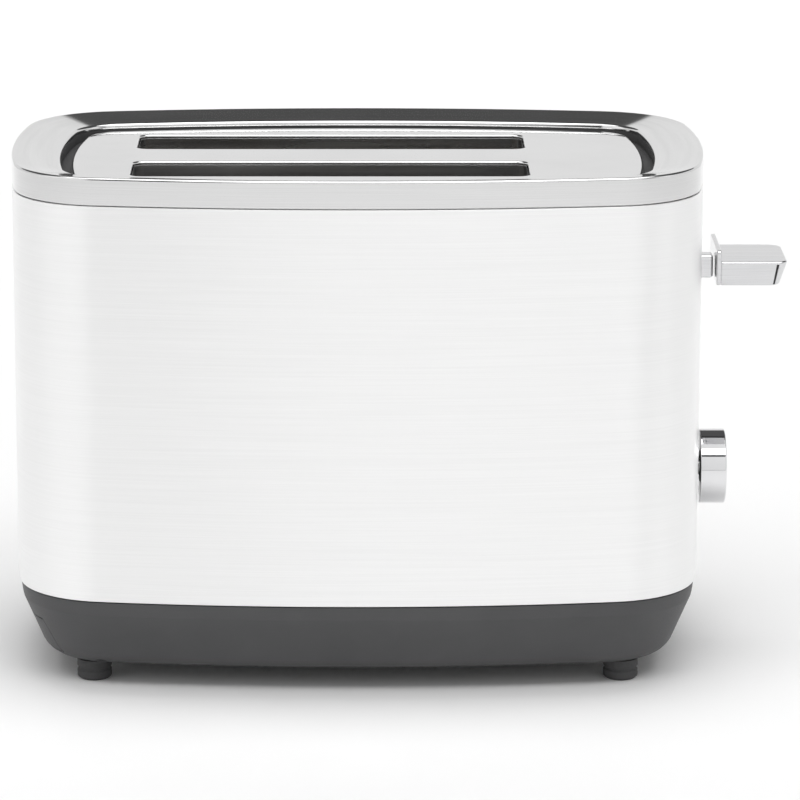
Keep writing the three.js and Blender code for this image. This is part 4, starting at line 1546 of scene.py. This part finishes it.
    def build_slot_guide(self) -> None:
        """The black guide behind the lever's slot, with a lip round its window and a screw boss at each corner."""
        span = Span.of("lever_slot_guide")
        plate = Bench.block("slot_guide_plate", span.low, span.high)
        Bench.round_edges(plate, Axis.X, 3 * MM, 6)
        lip = Bench.block("tool", (span.high.x - 1 * MM, -6.2 * MM, span.low.z + 1.2 * MM),
                          (span.high.x + 0.7 * MM, 6.2 * MM, span.high.z - 3.2 * MM))
        Bench.soften(lip, 0.6 * MM, 3)
        bosses = [Bench.rod("tool", Axis.X, 2.6 * MM, (span.low.x - 1.2 * MM, side * 10.4 * MM, height), 2 * MM, 24)
                  for side in (-1, 1) for height in (span.low.z + 4.5 * MM, span.high.z - 4.5 * MM)]
        Bench.weld(plate, lip, *bosses)
        holes = [Bench.rod("tool", Axis.X, 1.3 * MM, (span.low.x - 3 * MM, side * 10.4 * MM, height), 9 * MM, 20)
                 for side in (-1, 1) for height in (span.low.z + 4.5 * MM, span.high.z - 4.5 * MM)]
        window = Bench.block("tool", (span.low.x - 3 * MM, -4.4 * MM, span.low.z + 3 * MM),
                             (span.high.x + 3 * MM, 4.4 * MM, span.high.z - 5 * MM))
        Bench.cut(plate, window, *holes)
        Fitter.fit(plate, self.palette.black, "housing", "black_plastic", "lever_slot_guide")


# ---- Control end ----


@dataclass
class ControlEnd:
    """The browning dial, its scale, the three push buttons, the boards, the hold-down magnet and the switch."""

    palette: Palette
    wall_x: float
    end_bow: float
    scale_radius: float = 19.6 * MM
    print_height: float = 3.4 * MM
    settings: int = 6
    sweep: float = 270.0
    print_rise: float = 0.05 * MM

    def build(self) -> None:
        """Builds and mounts every piece of the control end."""
        self.build_knob()
        self.build_shaft()
        self.build_bush()
        self.build_scale()
        for name in ("cancel", "reheat", "defrost"):
            self.build_button(name)
        self.build_dial_control()
        self.build_control_board()
        self.build_button_board()
        self.build_magnet()
        self.build_mains_switch()

    def build_knob(self) -> None:
        """A turned knob with a rounded rim, a shallow dished face and a pointer groove."""
        span, shaft = Span.of("browning_knob"), Span.of("dial_shaft")
        radius, back, face = span.size.y / 2, span.low.x, span.high.x
        bore = 3.3 * MM
        knob = Bench.turn("knob_body", Axis.X, [
            (0.0, back + 4.4 * MM), (bore, back + 4.4 * MM), (bore, back), (radius - 0.5 * MM, back),
            (radius - 0.12 * MM, back + 0.12 * MM), (radius, back + 0.5 * MM), (radius, face - 0.6 * MM),
            (radius - 0.08 * MM, face - 0.3 * MM), (radius - 0.3 * MM, face - 0.08 * MM), (radius - 0.6 * MM, face),
            (radius - 1.8 * MM, face - 0.02 * MM), (radius - 2.6 * MM, face - 0.35 * MM),
            (0.0, face - 0.55 * MM)], shaft.centre, 96)
        height = span.centre.z
        groove = Bench.block("tool", (face - 1.0 * MM, -0.55 * MM, height + 5.5 * MM),
                             (face + 1 * MM, 0.55 * MM, height + radius - 1.8 * MM))
        Bench.round_edges(groove, Axis.X, 0.5 * MM, 5)
        Bench.cut(knob, groove)
        Fitter.fit(knob, self.palette.chrome, "dial", "chrome", "browning_knob", angle=40)
        paint = Bench.block("knob_pointer", (face - 1.0 * MM, -0.5 * MM, height + 5.6 * MM),
                            (face - 0.8 * MM, 0.5 * MM, height + radius - 1.9 * MM))
        Bench.soften(paint, 0.08 * MM, 2)
        Fitter.fit(paint, self.palette.print, "dial", "black_plastic")

    def build_shaft(self) -> None:
        """The dial's shaft, with a flat on its outer end and a chamfered tip."""
        span = Span.of("dial_shaft")
        radius = span.size.y / 2
        shaft = Bench.turn("dial_spindle", Axis.X, [
            (0.0, span.low.x), (radius, span.low.x), (radius, span.high.x - 0.5 * MM),
            (radius - 0.5 * MM, span.high.x), (0.0, span.high.x)], span.centre, 32)
        Bench.cut(shaft, Bench.block("tool", (span.high.x - 4 * MM, -5 * MM, span.high.z - 1.0 * MM),
                                     (span.high.x + 1 * MM, 5 * MM, span.high.z + 1 * MM)))
        Fitter.fit(shaft, self.palette.wire, "dial", "steel_wire", "dial_shaft")

    def build_bush(self) -> None:
        """The flanged bush that the shaft turns in, with chamfers on its nose."""
        span = Span.of("dial_bush")
        bore, nose, flange = 3.5 * MM, 6.2 * MM, span.size.y / 2
        shoulder = span.low.x + 1.7 * MM
        bush = Bench.turn("dial_bearing", Axis.X, [
            (bore, span.low.x), (flange - 0.4 * MM, span.low.x), (flange, span.low.x + 0.4 * MM), (flange, shoulder),
            (nose, shoulder), (nose, span.high.x - 0.4 * MM), (nose - 0.4 * MM, span.high.x),
            (bore + 0.4 * MM, span.high.x), (bore, span.high.x - 0.4 * MM), (bore, span.low.x)], span.centre, 48)
        Fitter.fit(bush, self.palette.black, "housing", "black_plastic", "dial_bush")

    def lay_on_wall(self, piece: Piece) -> None:
        """Bends a flat print onto the bowed end wall.

        Args:
            piece: the print, whose x counts as its height off the wall.
        """
        with Bench.editing(piece):
            mesh = bmesh.from_edit_mesh(piece.data)
            for vertex in mesh.verts:
                sag = self.end_bow - math.sqrt(self.end_bow**2 - vertex.co.y**2)
                vertex.co.x += self.wall_x - sag
            bmesh.update_edit_mesh(piece.data)

    def build_scale(self) -> None:
        """The printed browning scale: numbers round the dial with a tick by each and finer ticks between."""
        centre = Span.of("browning_knob").centre
        marks = []
        steps = (self.settings - 1) * 4
        for step in range(steps + 1):
            angle = math.radians(-self.sweep / 2 + self.sweep * step / steps)
            whole = step % 4 == 0
            length, width = (1.6 * MM, 0.5 * MM) if whole else (0.8 * MM, 0.3 * MM)
            near = 15.6 * MM
            Bench.clear()
            bpy.ops.mesh.primitive_cube_add(
                size=1, scale=(2 * self.print_rise, width, length),
                location=(0, near * math.sin(angle) + length / 2 * math.sin(angle),
                          centre.z + (near + length / 2) * math.cos(angle)), rotation=(-angle, 0, 0))
            mark = Bench.settle("tick")
            Bench.soften(mark, 0.1 * MM, 2, 60)
            marks.append(mark)
            if whole:
                marks.append(self.number(str(step // 4 + 1), angle, centre.z))
        scale = Bench.gather("dial_scale", marks)
        self.lay_on_wall(scale)
        Fitter.fit(scale, self.palette.print, "housing", "black_plastic")

    def number(self, text: str, angle: float, height: float) -> Piece:
        """One upright number of the scale, as a thin mesh.

        Args:
            text: the number.
            angle: its place round the dial, from the top.
            height: the dial's centre height.

        Returns:
            The number.
        """
        Bench.clear()
        place = (0, self.scale_radius * math.sin(angle), height + self.scale_radius * math.cos(angle))
        bpy.ops.object.text_add(location=place, rotation=(math.pi / 2, 0, math.pi / 2))
        letters = bpy.context.object
        letters.data.body = text
        letters.data.size = self.print_height
        letters.data.align_x, letters.data.align_y = "CENTER", "CENTER"
        letters.data.extrude = self.print_rise
        letters.data.resolution_u = 4
        bpy.ops.object.convert(target="MESH")
        number = Bench.settle("number")
        with Bench.editing(number):
            Bench.close_up(0.005 * MM)
        return number

    def build_button(self, name: str) -> None:
        """A round button with a dished face, on a flange and a stem.

        Args:
            name: which button.
        """
        node = f"{name}_button"
        span = Span.of(node)
        back, face, radius = span.low.x, span.high.x, 5.3 * MM
        button = Bench.turn(f"{name}_key", Axis.X, [
            (0.0, back), (2.2 * MM, back), (2.2 * MM, back + 3 * MM), (span.size.y / 2, back + 3 * MM),
            (span.size.y / 2, back + 4.2 * MM), (radius, back + 4.2 * MM), (radius, face - 0.6 * MM),
            (radius - 0.2 * MM, face - 0.2 * MM), (radius - 0.6 * MM, face), (radius - 1.1 * MM, face - 0.05 * MM),
            (radius - 2.2 * MM, face - 0.35 * MM), (radius - 3.6 * MM, face - 0.5 * MM), (0.0, face - 0.55 * MM)],
            span.centre, 48)
        Fitter.fit(button, self.palette.chrome, name, "chrome", node)

    def build_dial_control(self) -> None:
        """The rotary control: a case with a metal collar and three legs into the board."""
        span = Span.of("dial_control")
        case = Bench.block("dial_case", (span.low.x + 0.2 * MM, span.low.y, span.low.z),
                           (span.high.x - 2 * MM, span.high.y, span.high.z))
        Bench.soften(case, 0.8 * MM, 3)
        Fitter.fit(case, self.palette.black, "housing", "black_plastic", "dial_control")
        collar = Bench.turn("dial_collar", Axis.X, [
            (3.5 * MM, span.high.x - 2.4 * MM), (6.4 * MM, span.high.x - 2.4 * MM), (6.4 * MM, span.high.x - 0.6 * MM),
            (6.0 * MM, span.high.x), (3.5 * MM, span.high.x), (3.5 * MM, span.high.x - 2.4 * MM)], span.centre, 40)
        Fitter.fit(collar, self.palette.zinc, "housing", "galvanised")

    def build_control_board(self) -> None:
        """The board, with capacitors, resistors, a chip and soldered joints on its inner side."""
        span = Span.of("control_board")
        board = Bench.block("control_card", span.low, span.high)
        Bench.round_edges(board, Axis.X, 1.5 * MM, 5)
        holes = [Bench.rod("tool", Axis.X, 1.6 * MM, (span.low.x - 2 * MM, side * 36 * MM, height), 6 * MM, 24)
                 for side in (-1, 1) for height in (46 * MM, 80 * MM)]
        Bench.cut(board, *holes)
        Fitter.fit(board, self.palette.board, "housing", "circuit_board", "control_board")
        face = span.low.x
        cans = [self.capacitor(face, y, z, radius, height) for y, z, radius, height in (
            (-34, 60, 3.0, 6.0), (-27, 70, 2.4, 5.2), (36, 60, 3.0, 6.0), (28, 72, 2.4, 5.2))]
        Fitter.fit(Bench.gather("board_capacitors", cans), self.palette.black, "housing", "black_plastic")
        chips = []
        for y, z, wide, tall in ((8, 74, 8, 5), (-10, 76, 6, 4), (16, 64, 5, 5)):
            chip = Bench.block("chip", (face - 1.6 * MM, (y - wide) * MM, (z - tall) * MM),
                               (face - 0.3 * MM, (y + wide) * MM, (z + tall) * MM))
            Bench.soften(chip, 0.3 * MM, 2)
            chips.append(chip)
        Fitter.fit(Bench.gather("board_chips", chips), self.palette.black, "housing", "black_plastic")
        pin = Bench.block("pin", (face - 0.9 * MM, 0.2 * MM, 68.2 * MM), (face - 0.0 * MM, 0.9 * MM, 69.1 * MM))
        with Bench.editing(pin):
            Bench.pick(pin, Element.FACES, lambda place, way: way.z < -FACING)
            bpy.ops.mesh.extrude_region_move(TRANSFORM_OT_translate={"value": (0, 0, -0.5 * MM)})
            Bench.pick(pin, Element.FACES, lambda place, way: way.x < -FACING and place.z < 68.2 * MM)
            bpy.ops.transform.translate(value=(0.6 * MM, 0, 0))
        Bench.soften(pin, 0.1 * MM, 2)
        pins = [pin] + [Bench.copy(pin, "pin", (0, step * 2 * MM, 0)) for step in range(1, 8)]
        joint = [(0.0, face - 1.1 * MM), (0.4 * MM, face - 1.0 * MM), (0.6 * MM, face - 0.4 * MM),
                 (1.1 * MM, face + 0.05 * MM), (0.0, face + 0.05 * MM)]
        pins += [Bench.turn("joint", Axis.X, joint, (0, y * MM, 49 * MM), 14) for y in range(-30, 31, 5)]
        Fitter.fit(Bench.gather("board_joints", pins), self.palette.wire, "housing", "steel_wire")

    @staticmethod
    def capacitor(face: float, y: float, z: float, radius: float, height: float) -> Piece:
        """A capacitor can that stands on the board, with a rolled groove round its foot.

        Args:
            face: the board's inner face.
            y: where it stands across the board, in millimetres.
            z: its height, in millimetres.
            radius: the can's radius, in millimetres.
            height: how far it stands out, in millimetres.

        Returns:
            The can.
        """
        profile = [(0.0, -height), (radius - 0.4, -height), (radius, -height + 0.4), (radius, -1.6),
                   (radius - 0.3, -1.3), (radius - 0.3, -1.0), (radius, -0.7), (radius - 0.2, 0.0), (0.0, 0.0)]
        return Bench.turn("can", Axis.X, [(out * MM, face + along * MM) for out, along in profile],
                          (0, y * MM, z * MM), 28)

    def build_button_board(self) -> None:
        """The small board behind the buttons, with a push switch for each."""
        span = Span.of("button_board")
        front = span.high.x
        card = Bench.block("button_card", span.low, (front - 2 * MM, span.high.y, span.high.z))
        Bench.round_edges(card, Axis.X, 1.2 * MM, 5)
        Fitter.fit(card, self.palette.board, "housing", "circuit_board", "button_board")
        switches = []
        for name in ("cancel", "reheat", "defrost"):
            centre = Span.of(f"{name}_button").centre
            body = Bench.block("switch", (front - 2.2 * MM, centre.y - 3 * MM, centre.z - 3 * MM),
                               (front - 0.7 * MM, centre.y + 3 * MM, centre.z + 3 * MM))
            Bench.soften(body, 0.4 * MM, 3)
            cap = Bench.turn("switch", Axis.X, [
                (0.0, front - 1.0 * MM), (1.7 * MM, front - 1.0 * MM), (1.7 * MM, front - 0.2 * MM),
                (1.5 * MM, front), (0.0, front)], centre, 24)
            switches += [body, cap]
        Fitter.fit(Bench.gather("key_switches", switches), self.palette.black, "housing", "black_plastic")

    def build_magnet(self) -> None:
        """The hold-down magnet: an iron core and yoke, and a winding between two bobbin cheeks."""
        core, coil = Span.of("magnet_core"), Span.of("magnet_coil")
        x, y = coil.centre.x, coil.centre.y
        pole = Bench.block("magnet_pole", (x - 3 * MM, y - 5 * MM, core.low.z + 1 * MM),
                           (x + 3 * MM, y + 5 * MM, core.high.z))
        yoke = Bench.block("tool", core.low, (core.high.x, core.high.y, core.low.z + 2 * MM))
        Bench.weld(pole, yoke)
        Bench.soften(pole, 0.4 * MM, 3)
        Fitter.fit(pole, self.palette.zinc, "housing", "galvanised", "magnet_core")
        plan = PlanOutline((x, y), coil.size.x / 2, coil.size.y / 2, 3 * MM, 4.0, 4.0, 2, 6, 2)
        low, high, wire = coil.low.z + 1.2 * MM, coil.high.z - 1.2 * MM, 0.62 * MM
        levels = []
        turns = int((high - low) / wire)
        for turn in range(turns):
            height = low + turn * wire
            levels += [Level(1.0 * MM, height), Level(0.72 * MM, height + wire * 0.3),
                       Level(0.72 * MM, height + wire * 0.7)]
        levels.append(Level(1.0 * MM, low + turns * wire))
        winding = plan.stack("magnet_winding", levels, closed=False)
        Bench.cut(winding, Bench.block("tool", (x - 3.4 * MM, y - 5.4 * MM, 0.03), (x + 3.4 * MM, y + 5.4 * MM, 0.07)))
        Fitter.fit(winding, self.palette.copper, "housing", "copper", "magnet_coil")
        cheeks = []
        for base in (coil.low.z, high):
            cheek = plan.stack("cheek", [
                Level(0.0, base, rounding=0.2 * MM), Level(0.0, base + 1.1 * MM, rounding=0.2 * MM)], closed=False)
            Bench.cut(cheek, Bench.block("tool", (x - 3.2 * MM, y - 5.2 * MM, 0.03),
                                         (x + 3.2 * MM, y + 5.2 * MM, 0.07)))
            cheeks.append(cheek)
        Fitter.fit(Bench.gather("magnet_bobbin", cheeks), self.palette.black, "housing", "black_plastic")

    def build_mains_switch(self) -> None:
        """The mains contacts: a ribbed case, a sprung leaf with its contact, and two spade terminals."""
        span = Span.of("mains_switch")
        body_x = span.low.x + 4 * MM
        case = Bench.block("switch_case", (body_x, span.low.y, span.low.z), span.high)
        Bench.soften(case, 0.8 * MM, 3)
        ribs = [Bench.block("tool", (body_x + 2 * MM, span.low.y - 1 * MM, span.low.z + (3 + 3 * row) * MM),
                            (span.high.x - 2 * MM, span.low.y + 0.5 * MM, span.low.z + (4 + 3 * row) * MM))
                for row in range(4)]
        Bench.cut(case, *ribs)
        Fitter.fit(case, self.palette.black, "housing", "black_plastic", "mains_switch")
        leaf = Bench.block("switch_leaf", (span.low.x, 17 * MM, 53.2 * MM), (body_x + 1.2 * MM, 31 * MM, 53.8 * MM))
        with Bench.editing(leaf):
            Bench.pick(leaf, Element.EDGES, lambda place, way: abs(way.z) > FACING and place.x < body_x)
            bpy.ops.mesh.bevel(offset=1.5 * MM, segments=4, affect="EDGES")
        contact = Bench.turn("tool", Axis.Z, [
            (0.0, 53.4 * MM), (1.6 * MM, 53.4 * MM), (1.6 * MM, 54.0 * MM), (1.1 * MM, 54.2 * MM), (0.0, 54.3 * MM)],
            (span.low.x + 2 * MM, 24 * MM, 0), 20)
        Bench.weld(leaf, contact)
        Fitter.fit(leaf, self.palette.copper, "housing", "copper")


# ---- Studio ----


@dataclass
class Studio:
    """A pale floor, a bright room with dark bands in it, two soft boxes and a floor wash, and the camera.

    The room's levels are (elevation in degrees, level) pairs, and its gaps (place across, level) pairs.
    """

    middle_x: float
    distance: float = 1.69413
    height: float = 0.50068
    pitch: float = math.degrees(0.234524)
    lens: float = 36 * 4549.13 / 800
    shift: float = (400 - 357.5) / 800
    room_behind: tuple[tuple[float, float], ...] = (
        (0, 0.86), (22.5, 0.84), (23.5, 0.09), (60, 0.09), (64, 0.03), (74, 0.03), (76, 1.7), (90, 1.7))
    room_ahead: tuple[tuple[float, float], ...] = (
        (0, 0.86), (38, 0.92), (41, 0.92), (42, 0.05), (47, 0.05), (48, 1.7), (65, 1.7), (67, 0.9), (83, 0.9),
        (85, 1.7), (90, 1.7))
    room_gaps: tuple[tuple[float, float], ...] = (
        (-1.0, 1.3), (-0.5, 1.1), (-0.38, 0.1), (-0.24, 0.1), (-0.14, 0.9), (0.0, 0.98), (0.2, 1.04), (0.26, 0.85),
        (0.32, 0.85), (0.38, 1.08), (0.66, 1.08), (0.72, 0.6), (0.84, 0.6), (0.92, 1.2), (1.0, 1.3))

    def build(self) -> None:
        """Sets the whole scene up."""
        self.build_floor()
        self.build_world()
        self.build_lights()
        self.build_camera()

    def build_floor(self) -> None:
        """The floor that the toaster stands on."""
        Bench.clear()
        bpy.ops.mesh.primitive_plane_add(size=14, location=(0, 0, 0))
        floor = Bench.settle("studio_floor")
        recipe = Recipe("pale_floor")
        recipe.set(Base_Color=(0.9, 0.9, 0.9), Specular_IOR_Level=0.1)
        recipe.join(recipe.between(recipe.noise(recipe.place, 40.0, 3.0), 0.55, 0.7), "Roughness")
        Fitter.dress(floor, recipe.material)

    def build_world(self) -> None:
        """Room light by direction: one gradient by height behind the toaster, one in front, and gaps round it."""
        world = bpy.data.worlds.new("studio_room")
        bpy.context.scene.world = world
        world.use_nodes = True
        wiring = Wiring(world.node_tree)
        split = wiring.add("SeparateXYZ", Vector=wiring.add("TexCoord").outputs["Generated"])
        behind = self.gradient(wiring, split.outputs["Z"], self.sines(self.room_behind))
        ahead = self.gradient(wiring, split.outputs["Z"], self.sines(self.room_ahead))
        side = wiring.add("MapRange", Value=split.outputs["Y"], From_Min=-0.15, From_Max=0.05)
        across = wiring.add("MapRange", Value=split.outputs["X"], From_Min=-1.0)
        gaps = self.gradient(wiring, across.outputs["Result"], [((x + 1) / 2, level) for x, level in self.room_gaps])
        gapped = wiring.add("MixRGB", Fac=1.0, Color1=ahead, Color2=gaps)
        gapped.blend_type = "MULTIPLY"
        whole = wiring.add("MixRGB", Fac=side.outputs["Result"], Color1=gapped.outputs["Color"], Color2=behind)
        background = wiring.add("Background", Color=whole.outputs["Color"])
        wiring.add("OutputWorld", Surface=background.outputs["Background"])
        bpy.context.scene.view_settings.view_transform = "Standard"

    @staticmethod
    def sines(stops: Sequence[tuple[float, float]]) -> list[tuple[float, float]]:
        """Turns (elevation in degrees, level) pairs into (sine, level) pairs."""
        return [(math.sin(math.radians(elevation)), level) for elevation, level in stops]

    @staticmethod
    def gradient(wiring: Wiring, value: Socket, stops: Sequence[tuple[float, float]]
                 ) -> Socket:
        """A grey level that follows a value.

        Args:
            wiring: the world's nodes.
            value: what is followed.
            stops: (value, level) pairs in order.

        Returns:
            The socket with the level.
        """
        ramp = wiring.add("ValToRGB", Fac=value)
        elements = ramp.color_ramp.elements
        while len(elements) < len(stops):
            elements.new(0.5)
        for element, (position, level) in zip(elements, stops):
            element.position = position
            element.color = (level, level, level, 1.0)
        return ramp.outputs["Color"]

    def build_lights(self) -> None:
        """Two soft boxes overhead with a gap between them, and a wash that lights only the floor behind."""
        lights = (
            ("softbox_ahead", (self.middle_x, -1.2, 1.9), 2.2, 0.9, 14.6, True),
            ("softbox_above", (self.middle_x, 0.12, 1.9), 2.2, 0.6, 9.6, True),
            ("floor_wash", (self.middle_x, 2.4, 1.9), 3.0, 2.4, 33.0, False),
        )
        for name, place, width, depth, power, mirrored in lights:
            data = bpy.data.lights.new(name, "AREA")
            data.shape = "RECTANGLE"
            data.size, data.size_y = width, depth
            data.energy = power
            lamp = bpy.data.objects.new(name, data)
            lamp.location = place
            lamp.visible_glossy = mirrored
            bpy.context.scene.collection.objects.link(lamp)

    def build_camera(self) -> None:
        """A long lens level with the body's middle, tipped down towards it."""
        data = bpy.data.cameras.new("camera")
        data.lens = self.lens
        data.sensor_width = 36.0
        data.shift_x = self.shift
        camera = bpy.data.objects.new("camera", data)
        camera.location = (self.middle_x, -self.distance, self.height)
        camera.rotation_euler = (math.radians(90 - self.pitch), 0.0, 0.0)
        bpy.context.scene.collection.objects.link(camera)
        bpy.context.scene.camera = camera


def main() -> None:
    """Builds the studio and every sub-assembly."""
    logging.basicConfig(level=logging.INFO, format="%(message)s")
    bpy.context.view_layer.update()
    palette = Palette()
    housing = Housing(palette)
    Studio(housing.middle_x).build()
    housing.build()
    CrumbTray(palette, housing.outline).build()
    ToastingChamber(palette).build()
    Carriage(palette).build()
    ControlEnd(palette, housing.body.high.x, housing.end_bow).build()


if __name__ == "__main__":
    main()
